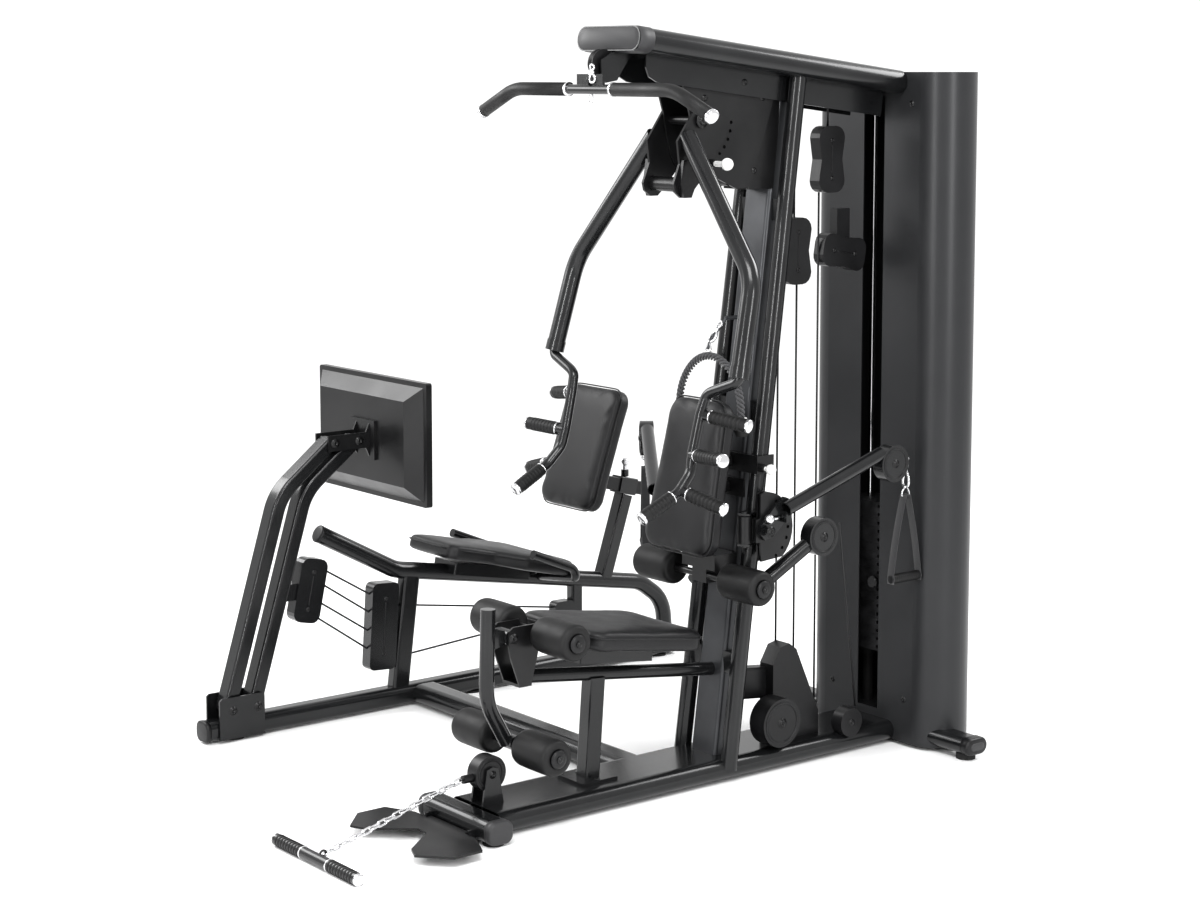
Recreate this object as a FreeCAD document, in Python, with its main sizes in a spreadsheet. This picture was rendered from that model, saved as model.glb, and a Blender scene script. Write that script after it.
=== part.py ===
"""Multi station home gym: one weight tower, a press and pulldown bench, and a leg press.

X runs across the machine, -Y is the front of the bench, +Z is up. The origin is on the floor in
the middle plane, under the foot of the upright column. All lengths are millimetres.
"""
import FreeCAD, Part
import math
import os
import re
import Sketcher
from FreeCAD import Vector, Rotation, Placement

# ---------------------------------------------------------------- driving dimensions
SIZES = {
    # tube and plate stock
    "foot_gap": 6, "rail_height": 60, "rail_width": 225, "wall": 3, "plate": 6,
    "side_rail_width": 70, "strut_radius": 24, "lever_radius": 20, "arm_radius": 25,
    "handle_radius": 14, "grip_radius": 18, "bar_radius": 13, "bar_grip_radius": 16,
    "beam_radius": 19, "foam_radius": 50, "foam_length": 150, "shaft_radius": 10,
    "cable_radius": 3, "running_gap": 0.06, "press_tube": 20, "low_tube": 27,
    # base
    "rail_front": -785, "rail_rear": 655, "crossbar_depth": 75, "rear_bar_depth": 85,
    "rear_bar_height": 48, "front_bar_half": 160, "rear_bar_half": 385, "link_y": -200,
    "link_width": 100,
    # column, struts and boom
    "column_width": 104, "column_depth": 90, "column_lean": 6.9, "column_foot_y": -15,
    "column_length": 1890, "strut_foot_x": 100, "strut_foot_y": 5, "strut_top_x": 89,
    "strut_top_y": 258, "strut_top_z": 1990, "boom_width": 265, "boom_height": 66,
    "boom_tilt": 6.8, "boom_nose_y": -341, "boom_nose_z": 2058, "boom_length": 985,
    "web_gap": 60, "web_depth": 70,
    # weight tower
    "tower_front": 640, "tower_radius": 96, "tower_flat": 182, "tower_height": 1960,
    "tower_bottom": 10, "slot_half": 42, "slot_top": 1900, "plate_thick": 25,
    "plate_width": 300, "plate_depth": 116, "stack_bottom": 250, "lower_count": 8,
    "upper_count": 9, "rod_spacing": 190, "rod_radius": 9.5,
    # press station
    "press_y": -83, "press_z": 1840, "bracket_half": 58, "cheek_half": 60, "cheek_thick": 8,
    "press_pin_radius": 12, "hole_arc": 119,
    # pulldown
    "lat_y": -405, "lat_z": 1925, "lat_half": 340, "lat_tip_x": 490, "lat_tip_z": 1860,
    "lat_wheel_radius": 38,
    # bench
    "seat_width": 360, "seat_length": 400, "seat_thick": 58, "seat_tilt": 8.3,
    "seat_front_y": -536, "seat_front_z": 465, "pad_width": 295, "pad_height": 440,
    "pad_thick": 62, "pad_low_z": 651, "pad_face_y": -131, "pad_lean": 12,
    "knee_y": -613, "knee_z": 508, "lever_y": -690, "lever_z": 500, "ankle_y": -676,
    "ankle_z": 215, "roller_outer": 212, "hold_y": -12, "hold_z": 576, "hold_outer": 257,
    "low_wheel_y": -752, "low_wheel_z": 145, "low_wheel_radius": 48, "row_y": -1266,
    "row_z": 16,
    # cable arms
    "arm_x": 205, "disc_radius": 106, "disc_flat": 87, "disc_y": 58, "disc_z": 719, "arm_end_y": 519,
    "arm_end_z": 862, "arm_cover_radius": 53, "left_arm_turn": 54, "swivel_x": 140,
    "swivel_y": 22,
    # leg press
    "press_rail_x": -1140, "leg_rail_front": -965, "leg_rail_rear": 830,
    "front_foot_y": -889, "rear_foot_y": -804, "link_foot_z": 95, "link_bend_dy": 187,
    "link_bend_z": 715, "link_top_dy": 366, "link_top_z": 857, "foot_plate_width": 602,
    "foot_plate_low": 674, "foot_plate_high": 1049, "foot_plate_y": -345,
    "leg_seat_length": 455, "leg_seat_thick": 50, "leg_seat_z": 440, "leg_back_y": 452,
    "leg_back_z": 746, "leg_back_recline": 19, "leg_back_height": 420,
    "leg_back_width": 290, "leg_back_thick": 65,
    # triceps rope
    "rope_radius": 11,
}

doc = FreeCAD.newDocument("home_gym")
sheet = doc.addObject("Spreadsheet::Sheet", "Sizes")
for row, (alias, amount) in enumerate(SIZES.items(), start=1):
    sheet.set(f"A{row}", alias)
    sheet.set(f"B{row}", str(amount))
    sheet.setAlias(f"B{row}", alias)
doc.recompute()

NODES = []


def size(alias):
    """One driving dimension, read back from the sheet."""
    return float(sheet.get(alias))


def bind(obj, prop, rule):
    """Set a property to a number, or tie it to the sheet with a formula of aliases."""
    if isinstance(rule, str):
        formula = re.sub(r"[a-z][a-z_]+", lambda word: f"Sizes.{word.group(0)}", rule)
        obj.setExpression(prop, formula)
    else:
        setattr(obj, prop, rule)


def amount(rule):
    """The number that a formula of aliases gives."""
    if not isinstance(rule, str):
        return float(rule)
    total = 0.0
    for sign, factor, alias in re.findall(r"([+-]?)\s*(?:([\d.]+)\s*\*\s*)?([a-z][a-z_]+|[\d.]+)", rule):
        part = size(alias) if alias[0].isalpha() else float(alias)
        total += (-1 if sign == "-" else 1) * (float(factor) if factor else 1.0) * part
    return total


def node(obj, label):
    """Name a finished sub-part. The label becomes its file name."""
    obj.Label = label
    NODES.append(obj)
    return obj


def aim(start, direction, side=Vector(1, 0, 0)):
    """A placement that carries local Z to direction and keeps local X near side."""
    return Placement(start, Rotation(side, Vector(), direction, "ZXY"))


# ---------------------------------------------------------------- sketches
def origin_plane(body, role):
    return next(item for item in body.Origin.OriginFeatures if item.Role == role)


def new_sketch(body, name, role="XY_Plane"):
    sketch = body.newObject("Sketcher::SketchObject", name)
    sketch.AttachmentSupport = [(origin_plane(body, role), "")]
    sketch.MapMode = "FlatFace"
    return sketch


def name_rule(sketch, index, rule):
    """Tie a sketch dimension to a formula, or leave the plain number."""
    if isinstance(rule, str):
        sketch.renameConstraint(index, f"rule{index}")
        bind(sketch, f"Constraints.rule{index}", rule)


def draw_circle(sketch, radius):
    edge = sketch.addGeometry(Part.Circle(Vector(), Vector(0, 0, 1), amount(radius)), False)
    sketch.addConstraint(Sketcher.Constraint("Coincident", edge, 3, -1, 1))
    index = sketch.addConstraint(Sketcher.Constraint("Radius", edge, amount(radius)))
    name_rule(sketch, index, radius)


def round_rect(width, height, radius):
    """Edges of a rectangle with rounded corners, centred on the origin."""
    w, h, r = width / 2, height / 2, min(radius, width / 2, height / 2)
    corners = [(w - r, h - r, 0), (r - w, h - r, 90), (r - w, r - h, 180), (w - r, r - h, 270)]
    edges = []
    for number, (x, y, start) in enumerate(corners):
        a, b = math.radians(start), math.radians(start + 90)
        circle = Part.Circle(Vector(x, y, 0), Vector(0, 0, 1), r)
        edges.append(Part.ArcOfCircle(circle, a, b))
        nx, ny, nstart = corners[(number + 1) % 4]
        c = math.radians(nstart)
        p = Vector(x + r * math.cos(b), y + r * math.sin(b), 0)
        q = Vector(nx + r * math.cos(c), ny + r * math.sin(c), 0)
        if p.distanceToPoint(q) > 1e-6:
            edges.append(Part.LineSegment(p, q))
    return edges


def polygon(points):
    corners = [Vector(x, y, 0) for x, y in points]
    return [Part.LineSegment(a, b) for a, b in zip(corners, corners[1:] + corners[:1])]


# ---------------------------------------------------------------- solids
def round_bar(name, radius, start, end, bore=0):
    """A straight round bar or tube between two points."""
    start, end = Vector(*start), Vector(*end)
    body = doc.addObject("PartDesign::Body", name)
    sketch = new_sketch(body, f"{name}_section")
    draw_circle(sketch, radius)
    if bore:
        draw_circle(sketch, bore)
    pad = body.newObject("PartDesign::Pad", f"{name}_pad")
    pad.Profile = sketch
    pad.Length = start.distanceToPoint(end)
    body.Placement = aim(start, end - start)
    return body


def section_bar(name, section, start, end, side=(1, 0, 0), hollow=True):
    """A straight bar of rounded rectangular section (width, height, corner radius)."""
    start, end = Vector(*start), Vector(*end)
    width, height, radius = (amount(rule) for rule in section)
    body = doc.addObject("PartDesign::Body", name)
    sketch = new_sketch(body, f"{name}_section")
    sketch.addGeometry(round_rect(width, height, radius), False)
    if hollow:
        wall = size("wall")
        inner = round_rect(width - 2 * wall, height - 2 * wall, max(radius - wall, 1))
        sketch.addGeometry(inner, False)
    pad = body.newObject("PartDesign::Pad", f"{name}_pad")
    pad.Profile = sketch
    pad.Length = start.distanceToPoint(end)
    body.Placement = aim(start, end - start, Vector(*side))
    return body


def flat_plate(name, points, thickness, x, holes=()):
    """A plate in the YZ plane from its outline, with round holes (y, z, radius)."""
    body = doc.addObject("PartDesign::Body", name)
    sketch = new_sketch(body, f"{name}_outline")
    sketch.addGeometry(polygon(points), False)
    for y, z, radius in holes:
        sketch.addGeometry(Part.Circle(Vector(y, z, 0), Vector(0, 0, 1), radius), False)
    pad = body.newObject("PartDesign::Pad", f"{name}_pad")
    pad.Profile = sketch
    bind(pad, "Length", thickness)
    body.Placement = Placement(Vector(x, 0, 0), Rotation(Vector(0, 1, 0), Vector(0, 0, 1), Vector(1, 0, 0)))
    return body


def turned(name, outline, start, direction):
    """A solid of revolution from (radius, height) points, its axis along direction."""
    body = doc.addObject("PartDesign::Body", name)
    sketch = new_sketch(body, f"{name}_profile", "XZ_Plane")
    sketch.addGeometry(polygon(outline), False)
    spin = body.newObject("PartDesign::Revolution", f"{name}_spin")
    spin.Profile = sketch
    spin.ReferenceAxis = (sketch, ["V_Axis"])
    spin.Angle = 360
    body.Placement = aim(Vector(*start), Vector(*direction))
    return body


def block(name, length, width, height, x, y, z):
    """A Part box centred on x and y, standing on z."""
    box = doc.addObject("Part::Box", name)
    bind(box, "Length", length)
    bind(box, "Width", width)
    bind(box, "Height", height)
    box.Placement.Base = Vector(x - amount(length) / 2, y - amount(width) / 2, z)
    return box


def cylinder(name, radius, height, start, direction=(0, 0, 1)):
    tube = doc.addObject("Part::Cylinder", name)
    bind(tube, "Radius", radius)
    bind(tube, "Height", height)
    tube.Placement = aim(Vector(*start), Vector(*direction))
    return tube


def cut(name, base, *tools):
    """base with the space of the other pieces taken out of it."""
    tool = tools[0] if len(tools) == 1 else group(f"{name}_tools", *tools)
    result = doc.addObject("Part::Cut", name)
    result.Base, result.Tool = base, tool
    return result


def weld(name, *pieces):
    result = doc.addObject("Part::MultiFuse", name)
    result.Shapes = list(pieces)
    result.Refine = True
    return result


def group(name, *pieces):
    result = doc.addObject("Part::Compound", name)
    result.Links = list(pieces)
    return result


def mirror(name, source):
    result = doc.addObject("Part::Mirroring", name)
    result.Source = source
    result.Base = Vector()
    result.Normal = Vector(1, 0, 0)
    return result


def mirrored_pair(name, source):
    """The same piece on both sides of the middle plane."""
    return group(name, source, mirror(f"{name}_other", source))


def rounded_path(points, bend):
    """Straight runs joined by tangent arcs of one bend radius, capped by the runs' length."""
    corners = [Vector(*point) for point in points]
    edges, here = [], corners[0]
    for number in range(1, len(corners) - 1):
        corner = corners[number]
        back = (corners[number - 1] - corner)
        ahead = (corners[number + 1] - corner)
        turn = math.pi - back.getAngle(ahead)
        reach = min(bend * math.tan(turn / 2), 0.45 * back.Length, 0.45 * ahead.Length)
        radius = reach / math.tan(turn / 2)
        back.normalize()
        ahead.normalize()
        first, last = corner + back * reach, corner + ahead * reach
        middle_way = (back + ahead).normalize()
        centre_gap = radius / math.cos(turn / 2)
        middle = corner + middle_way * (centre_gap - radius)
        edges += [Part.LineSegment(here, first).toShape(), Part.Arc(first, middle, last).toShape()]
        here = last
    edges.append(Part.LineSegment(here, corners[-1]).toShape())
    return Part.Wire(edges)


def swept(path, section):
    """A section wire, drawn in the XY plane, swept along a path as a closed solid."""
    start = path.Edges[0].Vertexes[0].Point
    direction = path.Edges[0].tangentAt(path.Edges[0].FirstParameter)
    wire = section.copy()
    wire.Placement = aim(start, direction)
    return path.makePipeShell([wire], True, False)


def bent_tube(name, points, radius, bend, wall=True):
    """A bent round tube through hand-placed corners."""
    path = rounded_path(points, bend)
    outer = Part.Wire(Part.Circle(Vector(), Vector(0, 0, 1), amount(radius)).toShape())
    shape = swept(path, outer)
    if wall:
        bore = amount(radius) - size("wall")
        inner = Part.Wire(Part.Circle(Vector(), Vector(0, 0, 1), bore).toShape())
        shape = shape.cut(swept(path, inner))
    tube = doc.addObject("Part::Feature", name)
    tube.Shape = shape
    return tube


def bent_section(name, points, width, height, radius, bend):
    """A bent bar of rounded rectangular section."""
    path = rounded_path(points, bend)
    outline = Part.Wire([edge.toShape() for edge in round_rect(width, height, radius)])
    bar = doc.addObject("Part::Feature", name)
    bar.Shape = swept(path, outline)
    return bar


def foam(name, x_inner, y, z, side=1):
    """A foam roller with softened ends and a bore that runs freely on its shaft."""
    radius, length, bore = size("foam_radius"), size("foam_length"), size("shaft_radius")
    bore += size("running_gap")
    outline = [(bore, 0), (radius - 8, 0), (radius, 8), (radius, length - 8),
               (radius - 8, length), (bore, length)]
    return turned(name, outline, (side * x_inner, y, z), (side, 0, 0))


def wheel(name, radius, x, y, z, width=20, bore=6):
    """A grooved cable wheel with its axle along X."""
    half = width / 2
    groove = radius - 6
    outline = [(bore, -half), (radius, -half), (radius, 3 - half), (groove, -2), (groove, 2),
               (radius, half - 3), (radius, half), (bore, half)]
    return turned(name, outline, (x, y, z), (1, 0, 0))


def wheel_cover(name, radius, x, y, z, width=34):
    """A closed round pulley cover with its axis along X."""
    return cylinder(name, radius, width, (x - width / 2, y, z), (1, 0, 0))


def cover_outline(middle, along, length, width, corner, waist=0):
    """Outline in Y and Z of a long cover with round corners, pulled in at its middle by waist."""
    way = Vector(0, *along).normalize()
    across = Vector(0, -way.z, way.y)
    half, side = length / 2 - corner, width / 2 - corner
    points = []
    for quarter, (u, w) in enumerate(((1, 1), (-1, 1), (-1, -1), (1, -1))):
        for step in range(5):
            angle = math.pi / 2 * (quarter + step / 4)
            points.append((u * half + corner * math.cos(angle), w * side + corner * math.sin(angle)))
        if waist and quarter in (0, 2):
            pull, shoulder = w * (width / 2 - waist), u * length * 0.14
            eased = pull + w * waist * 0.45
            points += [(shoulder, eased), (0, pull), (-shoulder, eased)]
    return [tuple((Vector(0, *middle) + way * a + across * b))[1:] for a, b in points]


# ---------------------------------------------------------------- base
LOW = size("foot_gap")
TOP = LOW + size("rail_height")
MID = (LOW + TOP) / 2
ROUND = size("rail_height") / 2
RAIL_X = size("press_rail_x")


def make_base():
    """The base rail, its two crossbars, the link to the leg press and the leg press rail."""
    depth = size("crossbar_depth")
    ends = [(0, size("rail_front"), MID), (0, size("rail_rear"), MID)]
    rail = section_bar("base_rail_tube", ("rail_width", "rail_height", ROUND), *ends)
    wheel_y, wheel_z = size("low_wheel_y"), size("low_wheel_z")
    outline = [(wheel_y - 33, TOP - 6), (wheel_y + 36, TOP - 6), (wheel_y + 18, wheel_z + 14),
               (wheel_y, wheel_z + 20), (wheel_y - 18, wheel_z + 14)]
    ears = [flat_plate(f"low_ear{x}", outline, "plate", x) for x in (-28, 22)]
    axle = cylinder("low_axle", 8, 56, (-28, wheel_y, wheel_z), (1, 0, 0))
    node(weld("base_rail_weld", rail, *ears, axle), "base_rail")
    envelope = section_bar("base_rail_envelope", ("rail_width", "rail_height", ROUND), *ends, hollow=False)
    front_y = size("rail_front") - depth / 2
    front_half, rear_half = size("front_bar_half"), size("rear_bar_half")
    front = section_bar("front_bar", (depth, "rail_height", 22), (-front_half, front_y, MID),
                        (front_half, front_y, MID), side=(0, 1, 0))
    rear_y = size("rail_rear") + size("rear_bar_depth") / 2
    rear_z = TOP - size("rear_bar_height") / 2
    rear_section = ("rear_bar_depth", "rear_bar_height", 24)
    rear_ends = [(-rear_half, rear_y, rear_z), (rear_half, rear_y, rear_z)]
    rear = section_bar("rear_bar", rear_section, *rear_ends, side=(0, 1, 0))
    rear_envelope = section_bar("rear_bar_envelope", rear_section, *rear_ends, side=(0, 1, 0), hollow=False)
    lugs = [block(f"wing_lug{side}", 8, 22, 26, side * 96, size("rail_front") - depth - 9, 12)
            for side in (-1, 1)]
    pin = cylinder("wing_pin", 4, 208, (-104, size("rail_front") - depth - 12, 22), (1, 0, 0))
    front = weld("front_bar_weld", front, *lugs, pin)
    node(group("crossbar_pair", front, rear), "crossbars")
    half = size("side_rail_width") / 2
    link = section_bar("link_tube", ("link_width", "rail_height", ROUND), (RAIL_X + half, size("link_y"), MID),
                       (-size("rail_width") / 2 + ROUND, size("link_y"), MID), side=(0, 1, 0))
    node(cut("link_trim", link, envelope), "cross_link")
    side_ends = [(RAIL_X, size("leg_rail_front"), MID), (RAIL_X, size("leg_rail_rear"), MID)]
    side_section = ("side_rail_width", "rail_height", 22)
    side_rail = section_bar("side_rail_tube", side_section, *side_ends)
    side_envelope = section_bar("side_rail_envelope", side_section, *side_ends, hollow=False)
    spots = [(x * front_half * 0.8, front_y, LOW) for x in (-1, 1)]
    spots += [(x * rear_half * 0.9, rear_y, rear_z - size("rear_bar_height") / 2) for x in (-1, 1)]
    spots += [(x, y, LOW) for x, y in ((0, 0), (RAIL_X, -862), (RAIL_X, 0), (RAIL_X, size("leg_rail_rear") - 60))]
    feet = [cylinder(f"foot{n}", 28, height, (x, y, 0)) for n, (x, y, height) in enumerate(spots)]
    return envelope, rear_envelope, side_rail, side_envelope, feet


BASE_RAIL, REAR_BAR, SIDE_RAIL_TUBE, SIDE_RAIL, FEET = make_base()


# ---------------------------------------------------------------- upright frame
LEAN = math.radians(size("column_lean"))
UP = Vector(0, math.sin(LEAN), math.cos(LEAN))
TILT = math.radians(size("boom_tilt"))
BACK = Vector(0, math.cos(TILT), -math.sin(TILT))


def column_face(z):
    """Y of the column's front face at a height."""
    return size("column_foot_y") + z * math.tan(LEAN)


def strut_at(z):
    """Centre of the right strut at a height."""
    low_z = TOP - 8
    share = (z - low_z) / (size("strut_top_z") - low_z)
    x = size("strut_foot_x") + share * (size("strut_top_x") - size("strut_foot_x"))
    y = size("strut_foot_y") + share * (size("strut_top_y") - size("strut_foot_y"))
    return Vector(x, y, z)


def boom_point(along, below=0):
    """A point on the boom's middle line, or square below it."""
    nose = Vector(0, size("boom_nose_y"), size("boom_nose_z"))
    return nose + BACK * along - Vector(0, math.sin(TILT), math.cos(TILT)) * below


def nose_wheel():
    """Centre of the pulldown wheel: its groove hangs the cable over the bar."""
    return Vector(0, size("lat_y") + size("lat_wheel_radius") - 3, size("lat_z") + 67)


def make_boom():
    """The sloping top boom: a flat tube, two deep webs under it and the pulldown cheeks."""
    nose, tail = boom_point(0), boom_point(size("boom_length"))
    section = ("boom_width", "boom_height", size("boom_height") / 2 - 1)
    tube = section_bar("boom_tube", section, nose, tail)
    cap = section_bar("boom_cap", section, nose - BACK * 6, nose, hollow=False)
    low, deep, end = size("boom_height") / 2 - 2, size("web_depth"), size("boom_length") - 25
    corners = [boom_point(75, low), boom_point(end, low), boom_point(end, low + deep),
               boom_point(120, low + deep), boom_point(92, low + deep * 0.85), boom_point(78, low + deep * 0.5)]
    outline = [(corner.y, corner.z) for corner in corners]
    gap = size("web_gap")
    webs = [flat_plate(f"web{x}", outline, "plate", x) for x in (-gap - size("plate"), gap)]
    at = nose_wheel()
    top, top_rear = boom_point(2, low), boom_point(62, low)
    outline = [(top.y, top.z), (top_rear.y, top_rear.z), (at.y + 50, at.z - 20), (at.y + 34, at.z - 44),
               (at.y - 4, at.z - 50), (at.y - 18, at.z - 30), (at.y - 20, at.z + 10)]
    cheeks = [flat_plate(f"nose_cheek{x}", outline, "plate", x) for x in (-25, 19)]
    axle = cylinder("nose_axle", 6 - size("running_gap"), 50, (-25, at.y, at.z), (1, 0, 0))
    envelope = section_bar("boom_envelope", section, nose, tail, hollow=False)
    node(weld("boom_weld", tube, cap, *webs, *cheeks, axle), "boom")
    return group("boom_space", envelope, *webs)


def make_frame():
    """The column between base and boom, with a round strut close to each of its sides."""
    section = ("column_width", "column_depth", 12)
    start = Vector(0, column_face(TOP) + size("column_depth") / 2 / math.cos(LEAN), TOP) - UP * 20
    end = start + UP * (size("column_length") + 60)
    column = section_bar("column_tube", section, start, end)
    envelope = section_bar("column_envelope", section, start, end, hollow=False)
    boom = make_boom()
    peg_z = 1285
    peg = cylinder("rope_peg", 6, 50, (-30, column_face(peg_z) - 46, peg_z), (0, 1, 0))
    hook_line = [(-30, column_face(peg_z) - 42, peg_z), (-36, 44, 1222), (-40, 40, 1201)]
    hook = bent_tube("rope_hook_rod", hook_line, 4, 12, wall=False)
    peg = cut("rope_hook_trim", weld("rope_hook_weld", peg, hook), envelope)
    node(weld("column_weld", cut("column_trim", column, BASE_RAIL, boom), peg), "upright_column")
    strut = round_bar("strut_tube", "strut_radius", strut_at(TOP - 30), strut_at(size("strut_top_z") + 10),
                      bore="strut_radius - wall")
    solid = round_bar("strut_envelope", "strut_radius", strut_at(TOP - 30), strut_at(size("strut_top_z") + 10))
    ties = []
    for number, z in enumerate((300, 1000, 1560)):
        at = strut_at(z)
        ties.append(block(f"strut_tie{number}", 60, 30, 60, 76, at.y + 6, z))
    tied = cut("strut_tie_trim", group("strut_ties", *ties), solid, envelope)
    pair = mirrored_pair("strut_pair", weld("strut_weld", strut, tied))
    node(cut("strut_trim", pair, BASE_RAIL, boom), "side_struts")
    return envelope, boom, mirrored_pair("strut_space", solid)


COLUMN, BOOM, STRUTS = make_frame()


# ---------------------------------------------------------------- weight tower
def make_tower():
    """The shroud with its front slot and end plates, the guide rods, buffers and the stack."""
    front, radius = size("tower_front"), size("tower_radius")
    middle = front + radius
    total = 2 * (size("tower_flat") + radius)
    bottom, height = size("tower_bottom"), size("tower_height")
    shell = section_bar("tower_tube", (total, 2 * radius, radius), (0, middle, bottom),
                        (0, middle, bottom + height))
    slot = block("tower_slot", "2 * slot_half", 40, size("slot_top") - 90, 0, front, 90)
    shell = cut("tower_cut", shell, slot, REAR_BAR, BASE_RAIL, BOOM)
    inside = (total - 2 * size("wall"), 2 * (radius - size("wall")), radius - size("wall"))
    lid = section_bar("tower_lid", inside, (0, middle, bottom + height - 12),
                      (0, middle, bottom + height - 2), hollow=False)
    floor = section_bar("tower_floor", inside, (0, middle, TOP), (0, middle, TOP + 8), hollow=False)
    rods = [cylinder(f"rod{side}", "rod_radius", bottom + height - TOP - 20,
                     (side * size("rod_spacing") / 2, middle, TOP + 8)) for side in (-1, 1)]
    node(group("guide_rod_pair", *rods), "guide_rods")
    node(group("tower_shell", shell, cut("lid_trim", lid, BOOM), floor), "tower_shroud")
    bore = size("rod_radius")
    buffers = [turned(f"buffer{side}", [(bore, 0), (24, 0), (24, 28), (20, 32), (bore, 32)],
                      (side * size("rod_spacing") / 2, middle, size("stack_bottom") - 32), (0, 0, 1))
               for side in (-1, 1)]
    sleeves = [turned(f"sleeve{side}", [(bore, 0), (16, 0), (16, 144), (bore, 144)],
                      (side * size("rod_spacing") / 2, middle, TOP + 8), (0, 0, 1)) for side in (-1, 1)]
    node(group("rubber_parts", *FEET, *buffers, *sleeves), "rubber_feet_and_buffers")
    make_stack(middle)


def stack_plate(name, middle, z, thick, centre_hole):
    """One cast plate with clearance holes for the two rods and the selector rod."""
    body = doc.addObject("PartDesign::Body", name)
    sketch = new_sketch(body, f"{name}_outline")
    sketch.addGeometry(round_rect(size("plate_width"), size("plate_depth"), 8), False)
    for side in (-1, 1):
        centre = Vector(side * size("rod_spacing") / 2, 0, 0)
        sketch.addGeometry(Part.Circle(centre, Vector(0, 0, 1), size("rod_radius") + 0.08), False)
    sketch.addGeometry(Part.Circle(Vector(), Vector(0, 0, 1), centre_hole), False)
    pad = body.newObject("PartDesign::Pad", f"{name}_pad")
    pad.Profile = sketch
    bind(pad, "Length", thick)
    pocket_sketch = new_sketch(body, f"{name}_pin_hole", "XZ_Plane")
    pocket_sketch.addGeometry(Part.Circle(Vector(0, amount(thick) / 2, 0), Vector(0, 0, 1), 5.5), False)
    pocket = body.newObject("PartDesign::Pocket", f"{name}_pin_pocket")
    pocket.Profile = pocket_sketch
    pocket.Type = "Length"
    pocket.Length = size("plate_depth")
    pocket.Reversed = True
    body.Placement.Base = Vector(0, middle, z)
    return body


def make_stack(middle):
    """Plates below and above the selector pin, the head plate with its rod, and the pin."""
    thick, slit, bar_radius = size("plate_thick"), 0.4, 11.5
    lower_count, upper_count = int(size("lower_count")), int(size("upper_count"))
    lower = [stack_plate(f"lower_plate{n}", middle, size("stack_bottom") + n * thick, thick - slit, 13)
             for n in range(lower_count)]
    node(group("lower_plate_group", *lower), "lower_weight_plates")
    base = size("stack_bottom") + lower_count * thick
    upper = [stack_plate(f"upper_plate{n}", middle, base + n * thick, thick - slit * (n < upper_count - 1), 13)
             for n in range(upper_count)]
    node(group("upper_plate_group", *upper), "upper_weight_plates")
    top = base + upper_count * thick
    head = stack_plate("head_plate", middle, top, thick, bar_radius)
    rod = cylinder("selector_bar", bar_radius, top - size("stack_bottom") + 70,
                   (0, middle, size("stack_bottom") + 5))
    pin_z = base + thick / 2
    pin_hole = cylinder("selector_bar_hole", 5.06, 60, (0, middle + 30, pin_z), (0, -1, 0))
    rod = cut("selector_bar_cut", rod, pin_hole)
    node(weld("stack_head_weld", head, rod), "stack_head")
    reach = size("plate_depth") / 2 + 18
    grip = [(17, reach), (19, reach + 4), (19, reach + 14), (15, reach + 18), (0, reach + 18)]
    pin = turned("pin_turned", [(0, 0), (4.5, 2), (5, 6), (5, reach), *grip], (0, middle + 8, pin_z), (0, -1, 0))
    node(pin, "selector_pin")


make_tower()


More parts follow.
